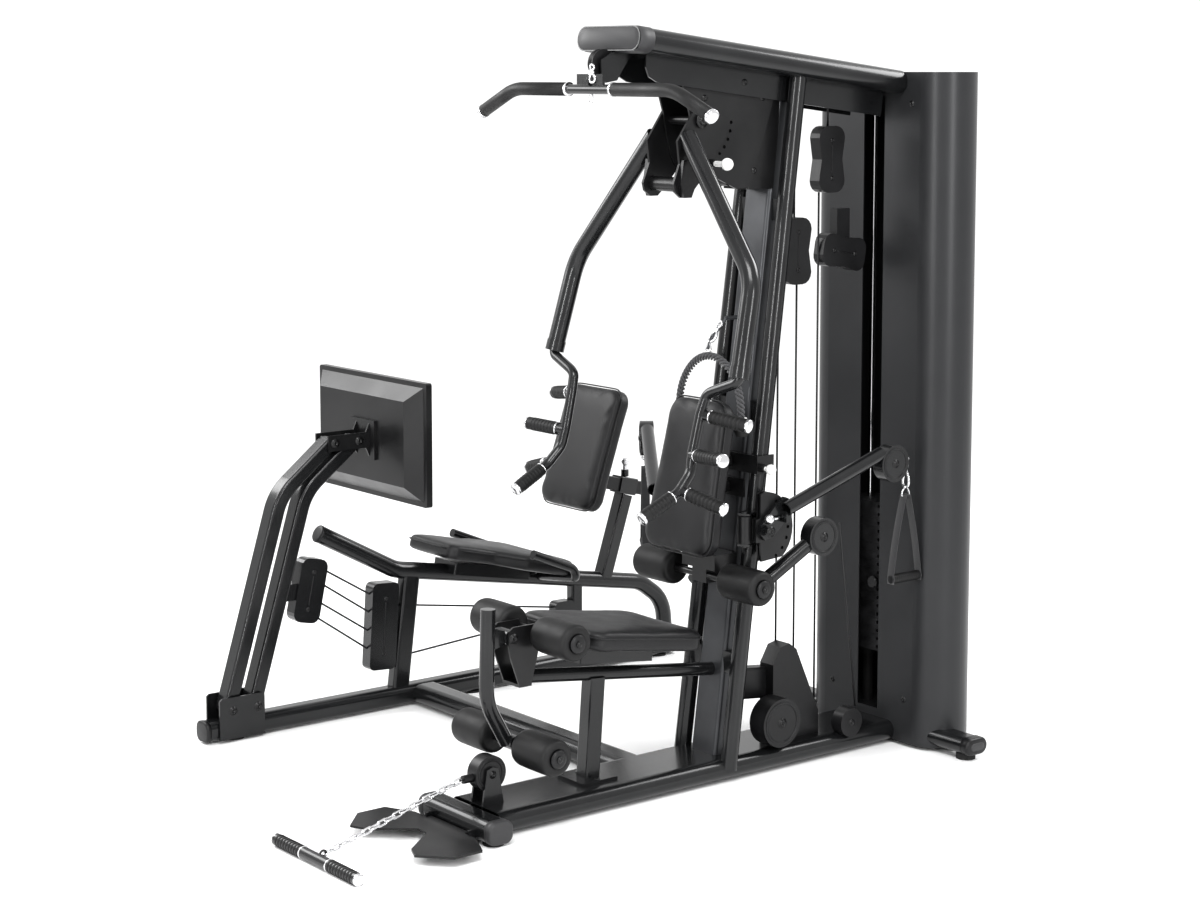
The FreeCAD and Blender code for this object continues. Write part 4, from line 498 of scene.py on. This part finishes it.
def nurbs_line(points):
    """The smooth line of the route, as closely spaced points."""
    curve = bpy.data.curves.new("route", "CURVE")
    curve.dimensions = "3D"
    curve.resolution_u = 24
    spline = curve.splines.new("NURBS")
    spline.points.add(len(points) - 1)
    for item, point in zip(spline.points, points):
        item.co = (*(Vector(point) * MM), 1)
    spline.order_u = 3
    spline.use_endpoint_u = True
    holder = bpy.data.objects.new("route", curve)
    bpy.context.scene.collection.objects.link(holder)
    bpy.context.view_layer.update()
    mesh = bpy.data.meshes.new_from_object(holder.evaluated_get(bpy.context.evaluated_depsgraph_get()))
    line = [v.co.copy() for v in mesh.vertices]
    bpy.data.objects.remove(holder)
    return line


def make_rope():
    """Three twisted strands along the route, with the white sleeves of its rubber stops."""
    line = nurbs_line(ROPE_ROUTE)
    strand, lay, turns_per_metre, sides = 0.0050, 0.0062, 26.0, 12

    def build(shape):
        travelled = 0.0
        up = Vector((0, 1, 0))
        rings = [[] for _ in range(3)]
        for number, point in enumerate(line):
            ahead = line[min(number + 1, len(line) - 1)] - line[max(number - 1, 0)]
            ahead.normalize()
            side = ahead.cross(up).normalized()
            top = side.cross(ahead).normalized()
            if number:
                travelled += (point - line[number - 1]).length
            for which in range(3):
                angle = 2 * math.pi * (travelled * turns_per_metre + which / 3)
                centre = point + (side * math.cos(angle) + top * math.sin(angle)) * lay
                ring = [shape.verts.new(centre + (side * math.cos(a) + top * math.sin(a)) * strand)
                        for a in (2 * math.pi * k / sides for k in range(sides))]
                rings[which].append(ring)
        for chain in rings:
            for low, high in zip(chain, chain[1:]):
                for k in range(sides):
                    shape.faces.new((low[k], low[(k + 1) % sides], high[(k + 1) % sides], high[k]))
            shape.faces.new(chain[0])
            shape.faces.new(chain[-1])
    rope = mesh_object("rope_strands", build)
    finish_piece(rope, "frame", ROPE)
    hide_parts("triceps_rope")
    for name, tip, before in (("right", line[-1], line[-6]), ("left", line[0], line[5])):
        way = (tip - before).normalized()
        collar = turned(f"rope_collar_{name}", [(11, -8), (15, -7), (18, 0), (18, 3), (11, 3)], tip, way, 32)
        finish_piece(collar, "frame", WHITE)


make_rope()


# ---------------------------------------------------------------- sweeps, caps and bolts
def swept(name, points, section, across, body, material):
    """A flat or round section carried along a line; across is the direction its width keeps."""
    def build(shape):
        rings = []
        for number, point in enumerate(points):
            ahead = (points[min(number + 1, len(points) - 1)] - points[max(number - 1, 0)]).normalized()
            side = (across - ahead * across.dot(ahead)).normalized()
            up = ahead.cross(side)
            rings.append([shape.verts.new(point + side * a * MM + up * b * MM) for a, b in section])
        count = len(section)
        for low, high in zip(rings, rings[1:]):
            for k in range(count):
                shape.faces.new((low[k], low[(k + 1) % count], high[(k + 1) % count], high[k]))
        shape.faces.new(list(reversed(rings[0])))
        shape.faces.new(rings[-1])
    return finish_piece(mesh_object(name, build), body, material)


def round_section(radius, sides=16):
    return [(radius * math.cos(a), radius * math.sin(a)) for a in (2 * math.pi * k / sides for k in range(sides))]


def flat_section(width, thick):
    """A strap's section: flat, with rounded edges."""
    w, t = width / 2, thick / 2
    return [(w - t, -t), (w - t * 0.3, -t * 0.7), (w, 0), (w - t * 0.3, t * 0.7), (w - t, t), (t - w, t),
            (t * 0.3 - w, t * 0.7), (-w, 0), (t * 0.3 - w, -t * 0.7), (t - w, -t)]


def between(a, b, count):
    return [a.lerp(b, k / (count - 1)) for k in range(count)]


def turned_corner(start, corner, end, cut, steps=8):
    """A line from start to end that rounds its corner."""
    near, far = (corner + (p - corner).normalized() * cut for p in (start, end))
    curve = [near.lerp(corner, t).lerp(corner.lerp(far, t), t) for t in (k / steps for k in range(steps + 1))]
    return [start, *curve, end]


def ring_piece(name, at, direction, inner, outer, width, body, material=None):
    """A thin band round a tube, with eased edges."""
    ease = min(0.8, width / 4)
    outline = [(inner, 0), (outer - ease, 0), (outer, ease), (outer, width - ease), (outer - ease, width), (inner, width),
               (inner, 0)]
    return finish_piece(turned(name, outline, at, direction, 40), body, material or CHROME)


def end_cap(name, at, direction, radius, body, material=None):
    """A domed plug on the end of a tube or grip."""
    outline = [(0, -1), (radius - 0.5, -1), (radius, 0.5), (radius, 5), (radius - 1.5, 7), (radius * 0.6, 8), (0, 8.4)]
    return finish_piece(turned(name, outline, at, direction, 40), body, material or CHROME)


def bolt(name, at, direction, radius, body, material=None, slot="steel"):
    """A washer, a domed head and its socket."""
    outline = [(radius * 1.55, 0), (radius * 1.5, 1.2), (radius * 1.05, 1.5), (radius, 3), (radius * 0.86, radius * 0.55),
               (radius * 0.55, radius * 0.66), (radius * 0.5, radius * 0.3), (0, radius * 0.3)]
    return finish_piece(turned(name, outline, at, direction, 24), body, material or DARK)


def oblong_cap(name, width, height, corner, depth, matrix, body, material):
    """A rounded plug over the end of a flat tube. Its face looks along local Z."""
    outline = rounded_outline(width, height, corner, 40)
    steps = [(0.0, 0.0), (0.0, depth * 0.72), (1.2, depth * 0.86), (3.4, depth * 0.95), (7.0, depth)]

    def build(shape):
        rings = []
        for inset, high in steps:
            kx, ky = (width - 2 * inset) / width, (height - 2 * inset) / height
            rings.append([shape.verts.new((x * kx * MM, y * ky * MM, high * MM)) for x, y in outline])
        count = len(outline)
        for low, high in zip(rings, rings[1:]):
            for n in range(count):
                shape.faces.new((low[n], low[(n + 1) % count], high[(n + 1) % count], high[n]))
        shape.faces.new(list(reversed(rings[0])))
        shape.faces.new(rings[-1])
    obj = mesh_object(name, build)
    obj.matrix_world = matrix
    return finish_piece(obj, body, material)


def facing(at, direction, across=(1, 0, 0)):
    """A matrix whose Z looks along direction and whose X keeps near across."""
    z = Vector(direction).normalized()
    x = (Vector(across) - z * z.dot(Vector(across))).normalized()
    turn = Matrix((x, z.cross(x), z)).transposed()
    return Matrix.Translation(at) @ turn.to_4x4()


def make_caps():
    """Plugs on the open tube ends."""
    tilt = math.radians(6.8)
    nose = mm(0, -341, 2058)
    back = Vector((0, math.cos(tilt), -math.sin(tilt)))
    oblong_cap("boom_nose_cap", 268, 69, 33, 54, facing(nose + back * 0.046, -back), "frame", CAP)
    for side, word in ((1, "right"), (-1, "left")):
        oblong_cap(f"front_bar_cap_{word}", 77, 62, 23, 26, facing(mm(side * 140, -822.5, 36), (side, 0, 0), (0, 1, 0)),
                   "frame", CAP)
        oblong_cap(f"rear_bar_cap_{word}", 87, 50, 24.5, 30,
                   facing(mm(side * 362, 697.5, 42), (side, 0, 0), (0, 1, 0)), "frame", PLASTIC)
        oblong_cap(f"rear_bar_plug_{word}", 52, 22, 10.5, 6,
                   facing(mm(side * 388, 697.5, 42), (side, 0, 0), (0, 1, 0)), "frame", CAP)
    oblong_cap("leg_rail_front_cap", 72, 62, 23, 14, facing(mm(-1140, -958, 36), (0, -1, 0)), "frame", PLASTIC)
    oblong_cap("leg_rail_rear_cap", 72, 62, 23, 12, facing(mm(-1140, 822, 36), (0, 1, 0)), "frame", PLASTIC)
    low = mm(-1140, -560, 578)
    way = (low - mm(-1140, -289, 433)).normalized()
    end_cap("leg_seat_tube_cap", low, way, 27.3, "frame", PLASTIC)


def make_grip_fittings():
    """Polished end caps and rings on every gripped bar, and the ribs of the grips."""
    stubs = [((279, -252, 1079), (416, -210, 1060)), ((274, -283, 975), (420, -303, 980)),
             ((284, -330, 886), (420, -297, 852)), ((285, -338, 882), (275, -453, 825))]
    for side, word in ((1, "right"), (-1, "left")):
        body = f"{word}_press_handle"
        for number, (a, b) in enumerate(stubs):
            a, b = mm(side * a[0], *a[1:]), mm(side * b[0], *b[1:])
            way = (b - a).normalized()
            end_cap(f"{word}_stub{number}_cap", a.lerp(b, 0.97), way, 18.4, body)
            ring_piece(f"{word}_stub{number}_ring", a.lerp(b, 0.2) - way * 4 * MM, way, 13.8, 18.4, 4, body)
            length = (b - a).length
            for rib in range(7):
                spot = a.lerp(b, 0.2) + way * (0.012 + rib * (0.77 * length - 0.024) / 7)
                ring_piece(f"{word}_stub{number}_rib{rib}", spot, way, 17.4, 18.9, 6, body, FOAM)
        bend, tip = mm(side * 340, -405, 1925), mm(side * 490, -405, 1860)
        way = (tip - bend).normalized()
        sleeve = turned_corner(mm(side * 99, -405, 1925), bend, bend.lerp(tip, 0.96), 0.04)
        swept(f"{word}_lat_sleeve", sleeve, round_section(18, 28), Vector((0, 1, 0)), "pulldown_bar", FOAM)
        end_cap(f"{word}_lat_cap", bend.lerp(tip, 0.98), way, 19.2, "pulldown_bar")
        ring_piece(f"{word}_lat_ring", bend.lerp(tip, 0.95), way, 17.5, 19.2, 4, "pulldown_bar")
        ring_piece(f"{word}_lat_middle_ring", mm(side * 92, -405, 1925), (side, 0, 0), 12.9, 19.0, 7, "pulldown_bar")
        end = mm(-10 + side * 195, -1266, 16)
        end_cap(f"{word}_row_cap", end - Vector((side * 0.004, 0, 0)), (side, 0, 0), 16.0, "row_handle")
        ring_piece(f"{word}_row_ring", end - Vector((side * 0.135, 0, 0)), (side, 0, 0), 15.8, 17.2, 5, "row_handle")
        for rib in range(9):
            spot = end - Vector((side * (0.125 - rib * 0.0128), 0, 0))
            ring_piece(f"{word}_row_rib{rib}", spot, (side, 0, 0), 15.6, 17.0, 8, "row_handle", FOAM)


def snap_hook(name, top, down, across, reach, body):
    """A polished spring hook: an eye, a swivel barrel and a pear-shaped hook below it."""
    barrel = top + down * reach * 0.30
    length = reach * 0.70
    finish_piece(turned(f"{name}_barrel", [(0, 0), (5, 0), (6.4, 2), (6.4, 9), (4.5, 11), (0, 11)], barrel, down, 24),
                 body, CHROME)
    eye = [top + across * math.sin(a) * 0.008 + down * (0.5 - 0.5 * math.cos(a)) * reach * 0.30
           for a in (2 * math.pi * k / 12 for k in range(12))]
    wire(f"{name}_eye", eye, 0.0030, body, CHROME, cyclic=True)
    pear = [(0, 0.02), (0.55, 0.10), (0.95, 0.42), (1.0, 0.72), (0.55, 0.97), (-0.45, 0.97), (-1.0, 0.72),
            (-0.80, 0.40), (-0.45, 0.10)]
    loop = [barrel + down * 0.009 + across * x * 0.0125 + down * y * (length - 0.011) for x, y in pear]
    wire(f"{name}_loop", loop, 0.0036, body, CHROME, cyclic=True)


def make_stirrup(word, hang, along):
    """A strap grip: eye, spring hook, ring, two straps and a gripped bar with end discs."""
    body = f"{word}_grip"
    down = Vector((0, 0, -1))
    across = Vector((along.y, -along.x, 0))
    ring_piece(f"{word}_grip_eye", hang - across * 0.006, across, 4.5, 8.0, 12, body)
    snap_hook(f"{word}_grip_hook", hang + down * 0.004, down, down.cross(along), 0.082, body)
    top = hang + down * 0.078
    ring = [top + down * 0.004, top + along * 0.012 + down * 0.012, top + along * 0.017 + down * 0.030,
            top + down * 0.033, top - along * 0.017 + down * 0.030, top - along * 0.012 + down * 0.012]
    wire(f"{word}_grip_ring", ring, 0.0024, body, CHROME, cyclic=True)
    grip_at = hang + down * 0.345
    pieces = []
    for side in (-1, 1):
        start = top + down * 0.026 + along * side * 0.008
        end = grip_at + along * side * 0.055 + down * -0.012
        line = []
        for k in range(15):
            t = k / 14
            bow = math.sin(math.pi * t) * 0.004
            line.append(start.lerp(end, t) + along * side * bow)
        line += [end + down * 0.014 + along * side * 0.001, end + down * 0.026]
        pieces.append(swept(f"{word}_grip_strap{side}", line, flat_section(25, 3), across, body, WEBBING))
        wrap = ring_piece(f"{word}_grip_wrap{side}", grip_at + along * (side * 0.055 - 0.0015), along, 12.0, 14.6, 3,
                          body, WEBBING)
        pieces.append(wrap)
        end_cap(f"{word}_grip_disc{side}", grip_at + along * side * 0.0500, along * side, 13.6, body, PLASTIC)
    outline = [(0, -51)]
    for k in range(13):
        z = -50 + 100 * k / 12
        outline += [(13.6, z), (14.3, z + 1.5), (14.3, z + 5.2), (13.6, z + 6.5)] if k < 12 else [(13.6, z)]
    outline += [(0, 51)]
    grip = finish_piece(turned(f"{word}_grip_bar", outline, grip_at, along, 32), body, FOAM)
    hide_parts(f"{word}_stirrup")
    for piece in pieces:
        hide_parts(f"{word}_stirrup")


TURN = math.radians(54)
LEFT_PIVOT = mm(-140, 22, 0)


def left_arm_place(x, y, z):
    """A point of the left cable arm, given where it would be with the arm turned straight back."""
    offset = mm(x, y, z) - LEFT_PIVOT
    return LEFT_PIVOT + Matrix.Rotation(TURN, 3, "Z") @ offset


def make_arm_fittings():
    """Bolts, knobs and strap grips of the two cable arms."""
    swing = Matrix.Rotation(TURN, 3, "Z")
    for word in ("right", "left"):
        side = 1 if word == "right" else -1

        def place(x, y, z, side=side):
            return mm(x, y, z) if side == 1 else left_arm_place(-x, y, z)
        out = Vector((1, 0, 0)) if side == 1 else swing @ Vector((-1, 0, 0))
        ahead = Vector((0, 1, 0)) if side == 1 else swing @ Vector((0, 1, 0))
        bolt(f"{word}_arm_head_bolt", place(225, 519, 862), out, 8, f"{word}_arm")
        bolt(f"{word}_arm_head_rear_bolt", place(185, 519, 862), -out, 8, f"{word}_arm")
        ring_piece(f"{word}_arm_head_rim", place(224.6, 519, 862), out, 40, 46, 1.6, f"{word}_arm", PLASTIC)
        bolt(f"{word}_arm_pivot_bolt", place(208, 58, 719), out, 10, f"{word}_yoke")
        ball = [(0, -2), (5.4, -2), (5.6, 37), *[(14.6 * math.sin(a), 53.1 - 14.6 * math.cos(a))
                for a in (0.4 + (math.pi - 0.4) * k / 12 for k in range(12))], (0, 67.7)]
        finish_piece(turned(f"{word}_arm_knob", ball, place(197, 114, 752), -ahead, 32), f"{word}_arm", CHROME)
        make_stirrup(word, place(205, 580.5, 868), ahead)
        bolt(f"{word}_guide_bolt", mm(side * 180, 285, 672), (side, 0, 0), 9, "frame")
        ring_piece(f"{word}_guide_rim", mm(side * 179.6, 285, 672), (side, 0, 0), 40, 47, 1.6, "frame", PLASTIC)


def slot_mark(name, at, along, out, length, body):
    """A raised rib with a bolt at each end, as on a pulley cover."""
    across = out.cross(along).normalized()
    points = between(at - along * length * MM / 2, at + along * length * MM / 2, 12)
    swept(f"{name}_rib", points, [(2.2, 0), (1.6, 1.1), (0, 1.5), (-1.6, 1.1), (-2.2, 0), (-1.6, -0.6), (1.6, -0.6)],
          across, body, PLASTIC)
    for end in (-1, 1):
        bolt(f"{name}_bolt{end}", at + along * end * (length / 2 + 12) * MM, out, 4.5, body)


def make_pulley_marks():
    """Ribs and bolts on the pulley covers."""
    x_out = Vector((1, 0, 0))
    up = Vector((0, 0, 1))
    for number, (y, z) in enumerate(((453, 1722), (326, 1465))):
        slot_mark(f"hanging_cover{number}", mm(20, y, z), up, x_out, 84, "frame")
    slot_mark("low_hanging_cover", mm(20, 507, 1454), mm(0, 165, -28).normalized(), x_out, 60, "frame")
    slot_mark("tall_cover", mm(26, 285, 215), up, x_out, 110, "frame")
    bolt("round_cover_bolt", mm(122, 185, 141), x_out, 10, "frame")
    ring_piece("round_cover_rim", mm(121.6, 185, 141), x_out, 54, 61, 1.8, "frame", PLASTIC)
    bolt("small_cover_bolt", mm(122, 457, 96), x_out, 7, "frame")
    post = mm(0, 17, 270).normalized()
    slot_mark("leg_post_cover", mm(-1118, -343, 265), post, x_out, 150, "frame")
    link_way = mm(0, 40, 190).normalized()
    slot_mark("leg_link_cover", mm(-1118, -605, 413), link_way, x_out, 90, "rear_link")
    bolt("low_cover_bolt", mm(28, -752, 145), x_out, 7, "frame")
    ring_piece("low_cover_rim", mm(19.7, -752, 145), x_out, 34, 40, 1.4, "low_pulley", PLASTIC)


def make_bolts():
    """Heads on the pins and plates that are bolted."""
    for side, word in ((1, "right"), (-1, "left")):
        out = (side, 0, 0)
        bolt(f"press_pivot_bolt_{word}", mm(side * 76, -83, 1840), out, 13, "frame")
        bolt(f"lever_bolt_{word}", mm(side * 38, -690, 500), out, 9, "frame")
        for number, y in enumerate((-889, -804)):
            bolt(f"link_foot_bolt{number}_{word}", mm(-1140 + side * 42, y, 95), out, 9, "frame")
        for number, (y, z) in enumerate(((-523, 857), (-438, 857))):
            bolt(f"carriage_bolt{number}_{word}", mm(-1140 + side * 38, y, z), out, 9, "carriage")
        for number, (y, z) in enumerate(((120, 1700), (150, 1900), (-60, 1900))):
            bolt(f"bracket_bolt{number}_{word}", mm(side * 58, y, z), out, 6, "frame")
        for number, z in enumerate((140, 1880)):
            bolt(f"tower_bolt{number}_{word}", mm(side * 150, 640, z), (0, -1, 0), 6, "frame")
        for number, along in enumerate((0.42, 0.62)):
            tilt = math.radians(6.8)
            spot = mm(side * 66, -341, 2058) + Vector((0, math.cos(tilt), -math.sin(tilt))) * along
            bolt(f"web_bolt{number}_{word}", spot - Vector((0, 0, 0.066)), out, 6, "frame")
        bolt(f"seat_shoe_bolt_{word}", mm(side * 42, -417, 74), (0, 0, 1), 6, "frame")


def draw_cable(shape, start, end, count=2):
    """A straight round cable, divided along its length."""
    way = (end - start).normalized()
    side = way.cross(Vector((1, 0, 0)) if abs(way.x) < 0.7 else Vector((0, 1, 0))).normalized()
    up = way.cross(side)
    rings = [[shape.verts.new(point + (side * x + up * y) * MM) for x, y in round_section(3.0, 12)]
             for point in between(start, end, count)]
    for low, high in zip(rings, rings[1:]):
        for k in range(12):
            shape.faces.new((low[k], low[(k + 1) % 12], high[(k + 1) % 12], high[k]))
    shape.faces.new(rings[0])
    shape.faces.new(rings[-1])


def moving_cable(name, start, end, count):
    """A straight cable between two points, divided along its length."""
    cable = mesh_object(name, lambda shape: draw_cable(shape, start, end, count))
    cable.data.materials.append(CABLE)
    for face in cable.data.polygons:
        face.use_smooth = True
    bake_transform(cable)
    return cable


def make_steel_cables():
    """The fixed runs in one piece, and four separate runs at the leg press links."""
    press_x = -1140
    runs = [((0, 268, 344), (0, 268, 1962)), ((0, 326, 1560), (0, 326, 1958)), ((0, 338, 240), (0, 338, 1372)),
            ((0, 453, 1817), (0, 453, 1940)), ((0, 421, 70), (0, 421, 1628)), ((100, 492, 136), (160, 362, 700)),
            ((press_x, -340, 330), (press_x, 340, 225)), ((press_x, -340, 152), (press_x, 340, 200))]

    def build(shape):
        for start, end in runs:
            draw_cable(shape, mm(*start), mm(*end))
    fixed = finish_piece(mesh_object("cable_runs", build), "frame", CABLE)
    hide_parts("steel_cables")
    for number, z in enumerate((340, 385, 440, 480)):
        moving_cable(f"leg_cable{number}", mm(press_x, -598 + number * 10, z),
                     mm(press_x, -352, 170 + number * 60), 24)


def make_hooks_and_cables():
    """Spring hooks at the pulldown bar and the rope, and the pulldown, row and stack cables."""
    top, bottom = mm(-31, 82, 1277), mm(-37, 43, 1218)
    snap_hook("rope_snap", top, (bottom - top).normalized(), Vector((1, 0, 0)), 0.07, "frame")
    wire("rope_triangle", [mm(-37, 43, 1224), mm(-53, 41, 1197), mm(-40, 40, 1193), mm(-26, 41, 1197)], 0.002,
         "frame", CHROME, order=2, cyclic=True)
    moving_cable("pulldown_cable", mm(0, -405, 1990), mm(0, -405, 1960), 24)
    moving_cable("row_cable", mm(0, -792, 139), mm(0, -838, 138.5), 24)
    moving_cable("stack_cable", mm(0, 736, 748), mm(0, 736, 1946), 60)
    clamp = [(0, 0), (7, 0), (8, 3), (8, 12), (5, 15), (0, 15)]
    snap_hook("lat_snap", mm(14, -411, 1990), Vector((0, 0, -1)), Vector((1, 0, 0)), 0.05, "pulldown_bar")
    ring = [mm(11 * math.sin(a), -405, 1901 - 11 * math.cos(a)) for a in (2 * math.pi * k / 16 for k in range(16))]
    wire("lat_lower_ring", ring, 0.002, "pulldown_bar", CHROME, cyclic=True)
    finish_piece(turned("lat_cable_clamp", clamp, mm(0, -405, 1962), (0, 0, 1), 24), "pulldown_bar", CHROME)
    finish_piece(turned("stack_cable_clamp", [(0, 0), (13, 0), (14, 3), (14, 26), (9, 32), (0, 32)], mm(0, 736, 744),
                        (0, 0, 1), 24), "stack", CHROME)


make_caps()
make_grip_fittings()
make_arm_fittings()
make_pulley_marks()
make_bolts()
make_steel_cables()
make_hooks_and_cables()


# ---------------------------------------------------------------- floor, light and camera
def make_stage():
    """A pale floor that runs into a pale world, with three soft lights."""
    bpy.ops.mesh.primitive_plane_add(size=24, location=(0, 0, -0.0005))
    floor = bpy.context.object
    floor.name = "studio_floor"
    material = new_material("studio_floor", (0.93, 0.93, 0.93), 0.6)
    shader = material.node_tree.nodes["Principled BSDF"]
    link(material, ramp(material, noise(material, 3.0), 0.56, 0.64), shader.inputs["Roughness"])
    floor.data.materials.append(material)
    world = bpy.data.worlds.new("studio")
    world.use_nodes = True
    world.node_tree.nodes["Background"].inputs["Color"].default_value = (1, 1, 1, 1)
    world.node_tree.nodes["Background"].inputs["Strength"].default_value = 0.95
    bpy.context.scene.world = world
    lights = (((3.0, -2.8, 5.4), (3.0, 1.8), 190), ((-3.6, -2.2, 3.0), (3.0, 1.8), 100),
              ((0.8, 3.4, 3.4), (2.5, 1.5), 90), ((1.6, -5.2, 2.0), (0.35, 2.4), 85),
              ((5.6, -0.6, 2.2), (0.35, 2.6), 95))
    for number, (place, extent, power) in enumerate(lights):
        data = bpy.data.lights.new(f"softbox{number}", "AREA")
        data.shape = "RECTANGLE"
        data.size, data.size_y = extent
        data.energy = power
        lamp = bpy.data.objects.new(f"softbox{number}", data)
        lamp.location = place
        lamp.rotation_euler = (Vector((-0.3, 0, 0.9)) - Vector(place)).to_track_quat("-Z", "Y").to_euler()
        bpy.context.scene.collection.objects.link(lamp)
    bpy.context.scene.view_settings.view_transform = "Standard"
    bpy.context.scene.view_settings.look = "Medium High Contrast"


def make_camera():
    data = bpy.data.cameras.new("camera")
    data.sensor_width = 36
    data.lens = 70.89
    data.shift_y = -0.1
    data.clip_end = 60
    camera = bpy.data.objects.new("camera", data)
    camera.location = (4.929, -4.242, 1.9745)
    heading, dip = math.radians(141.877), math.radians(6.294)
    look = Vector((math.cos(heading) * math.cos(dip), math.sin(heading) * math.cos(dip), -math.sin(dip)))
    camera.rotation_euler = look.to_track_quat("-Z", "Y").to_euler()
    bpy.context.scene.collection.objects.link(camera)
    bpy.context.scene.camera = camera


make_stage()
make_camera()
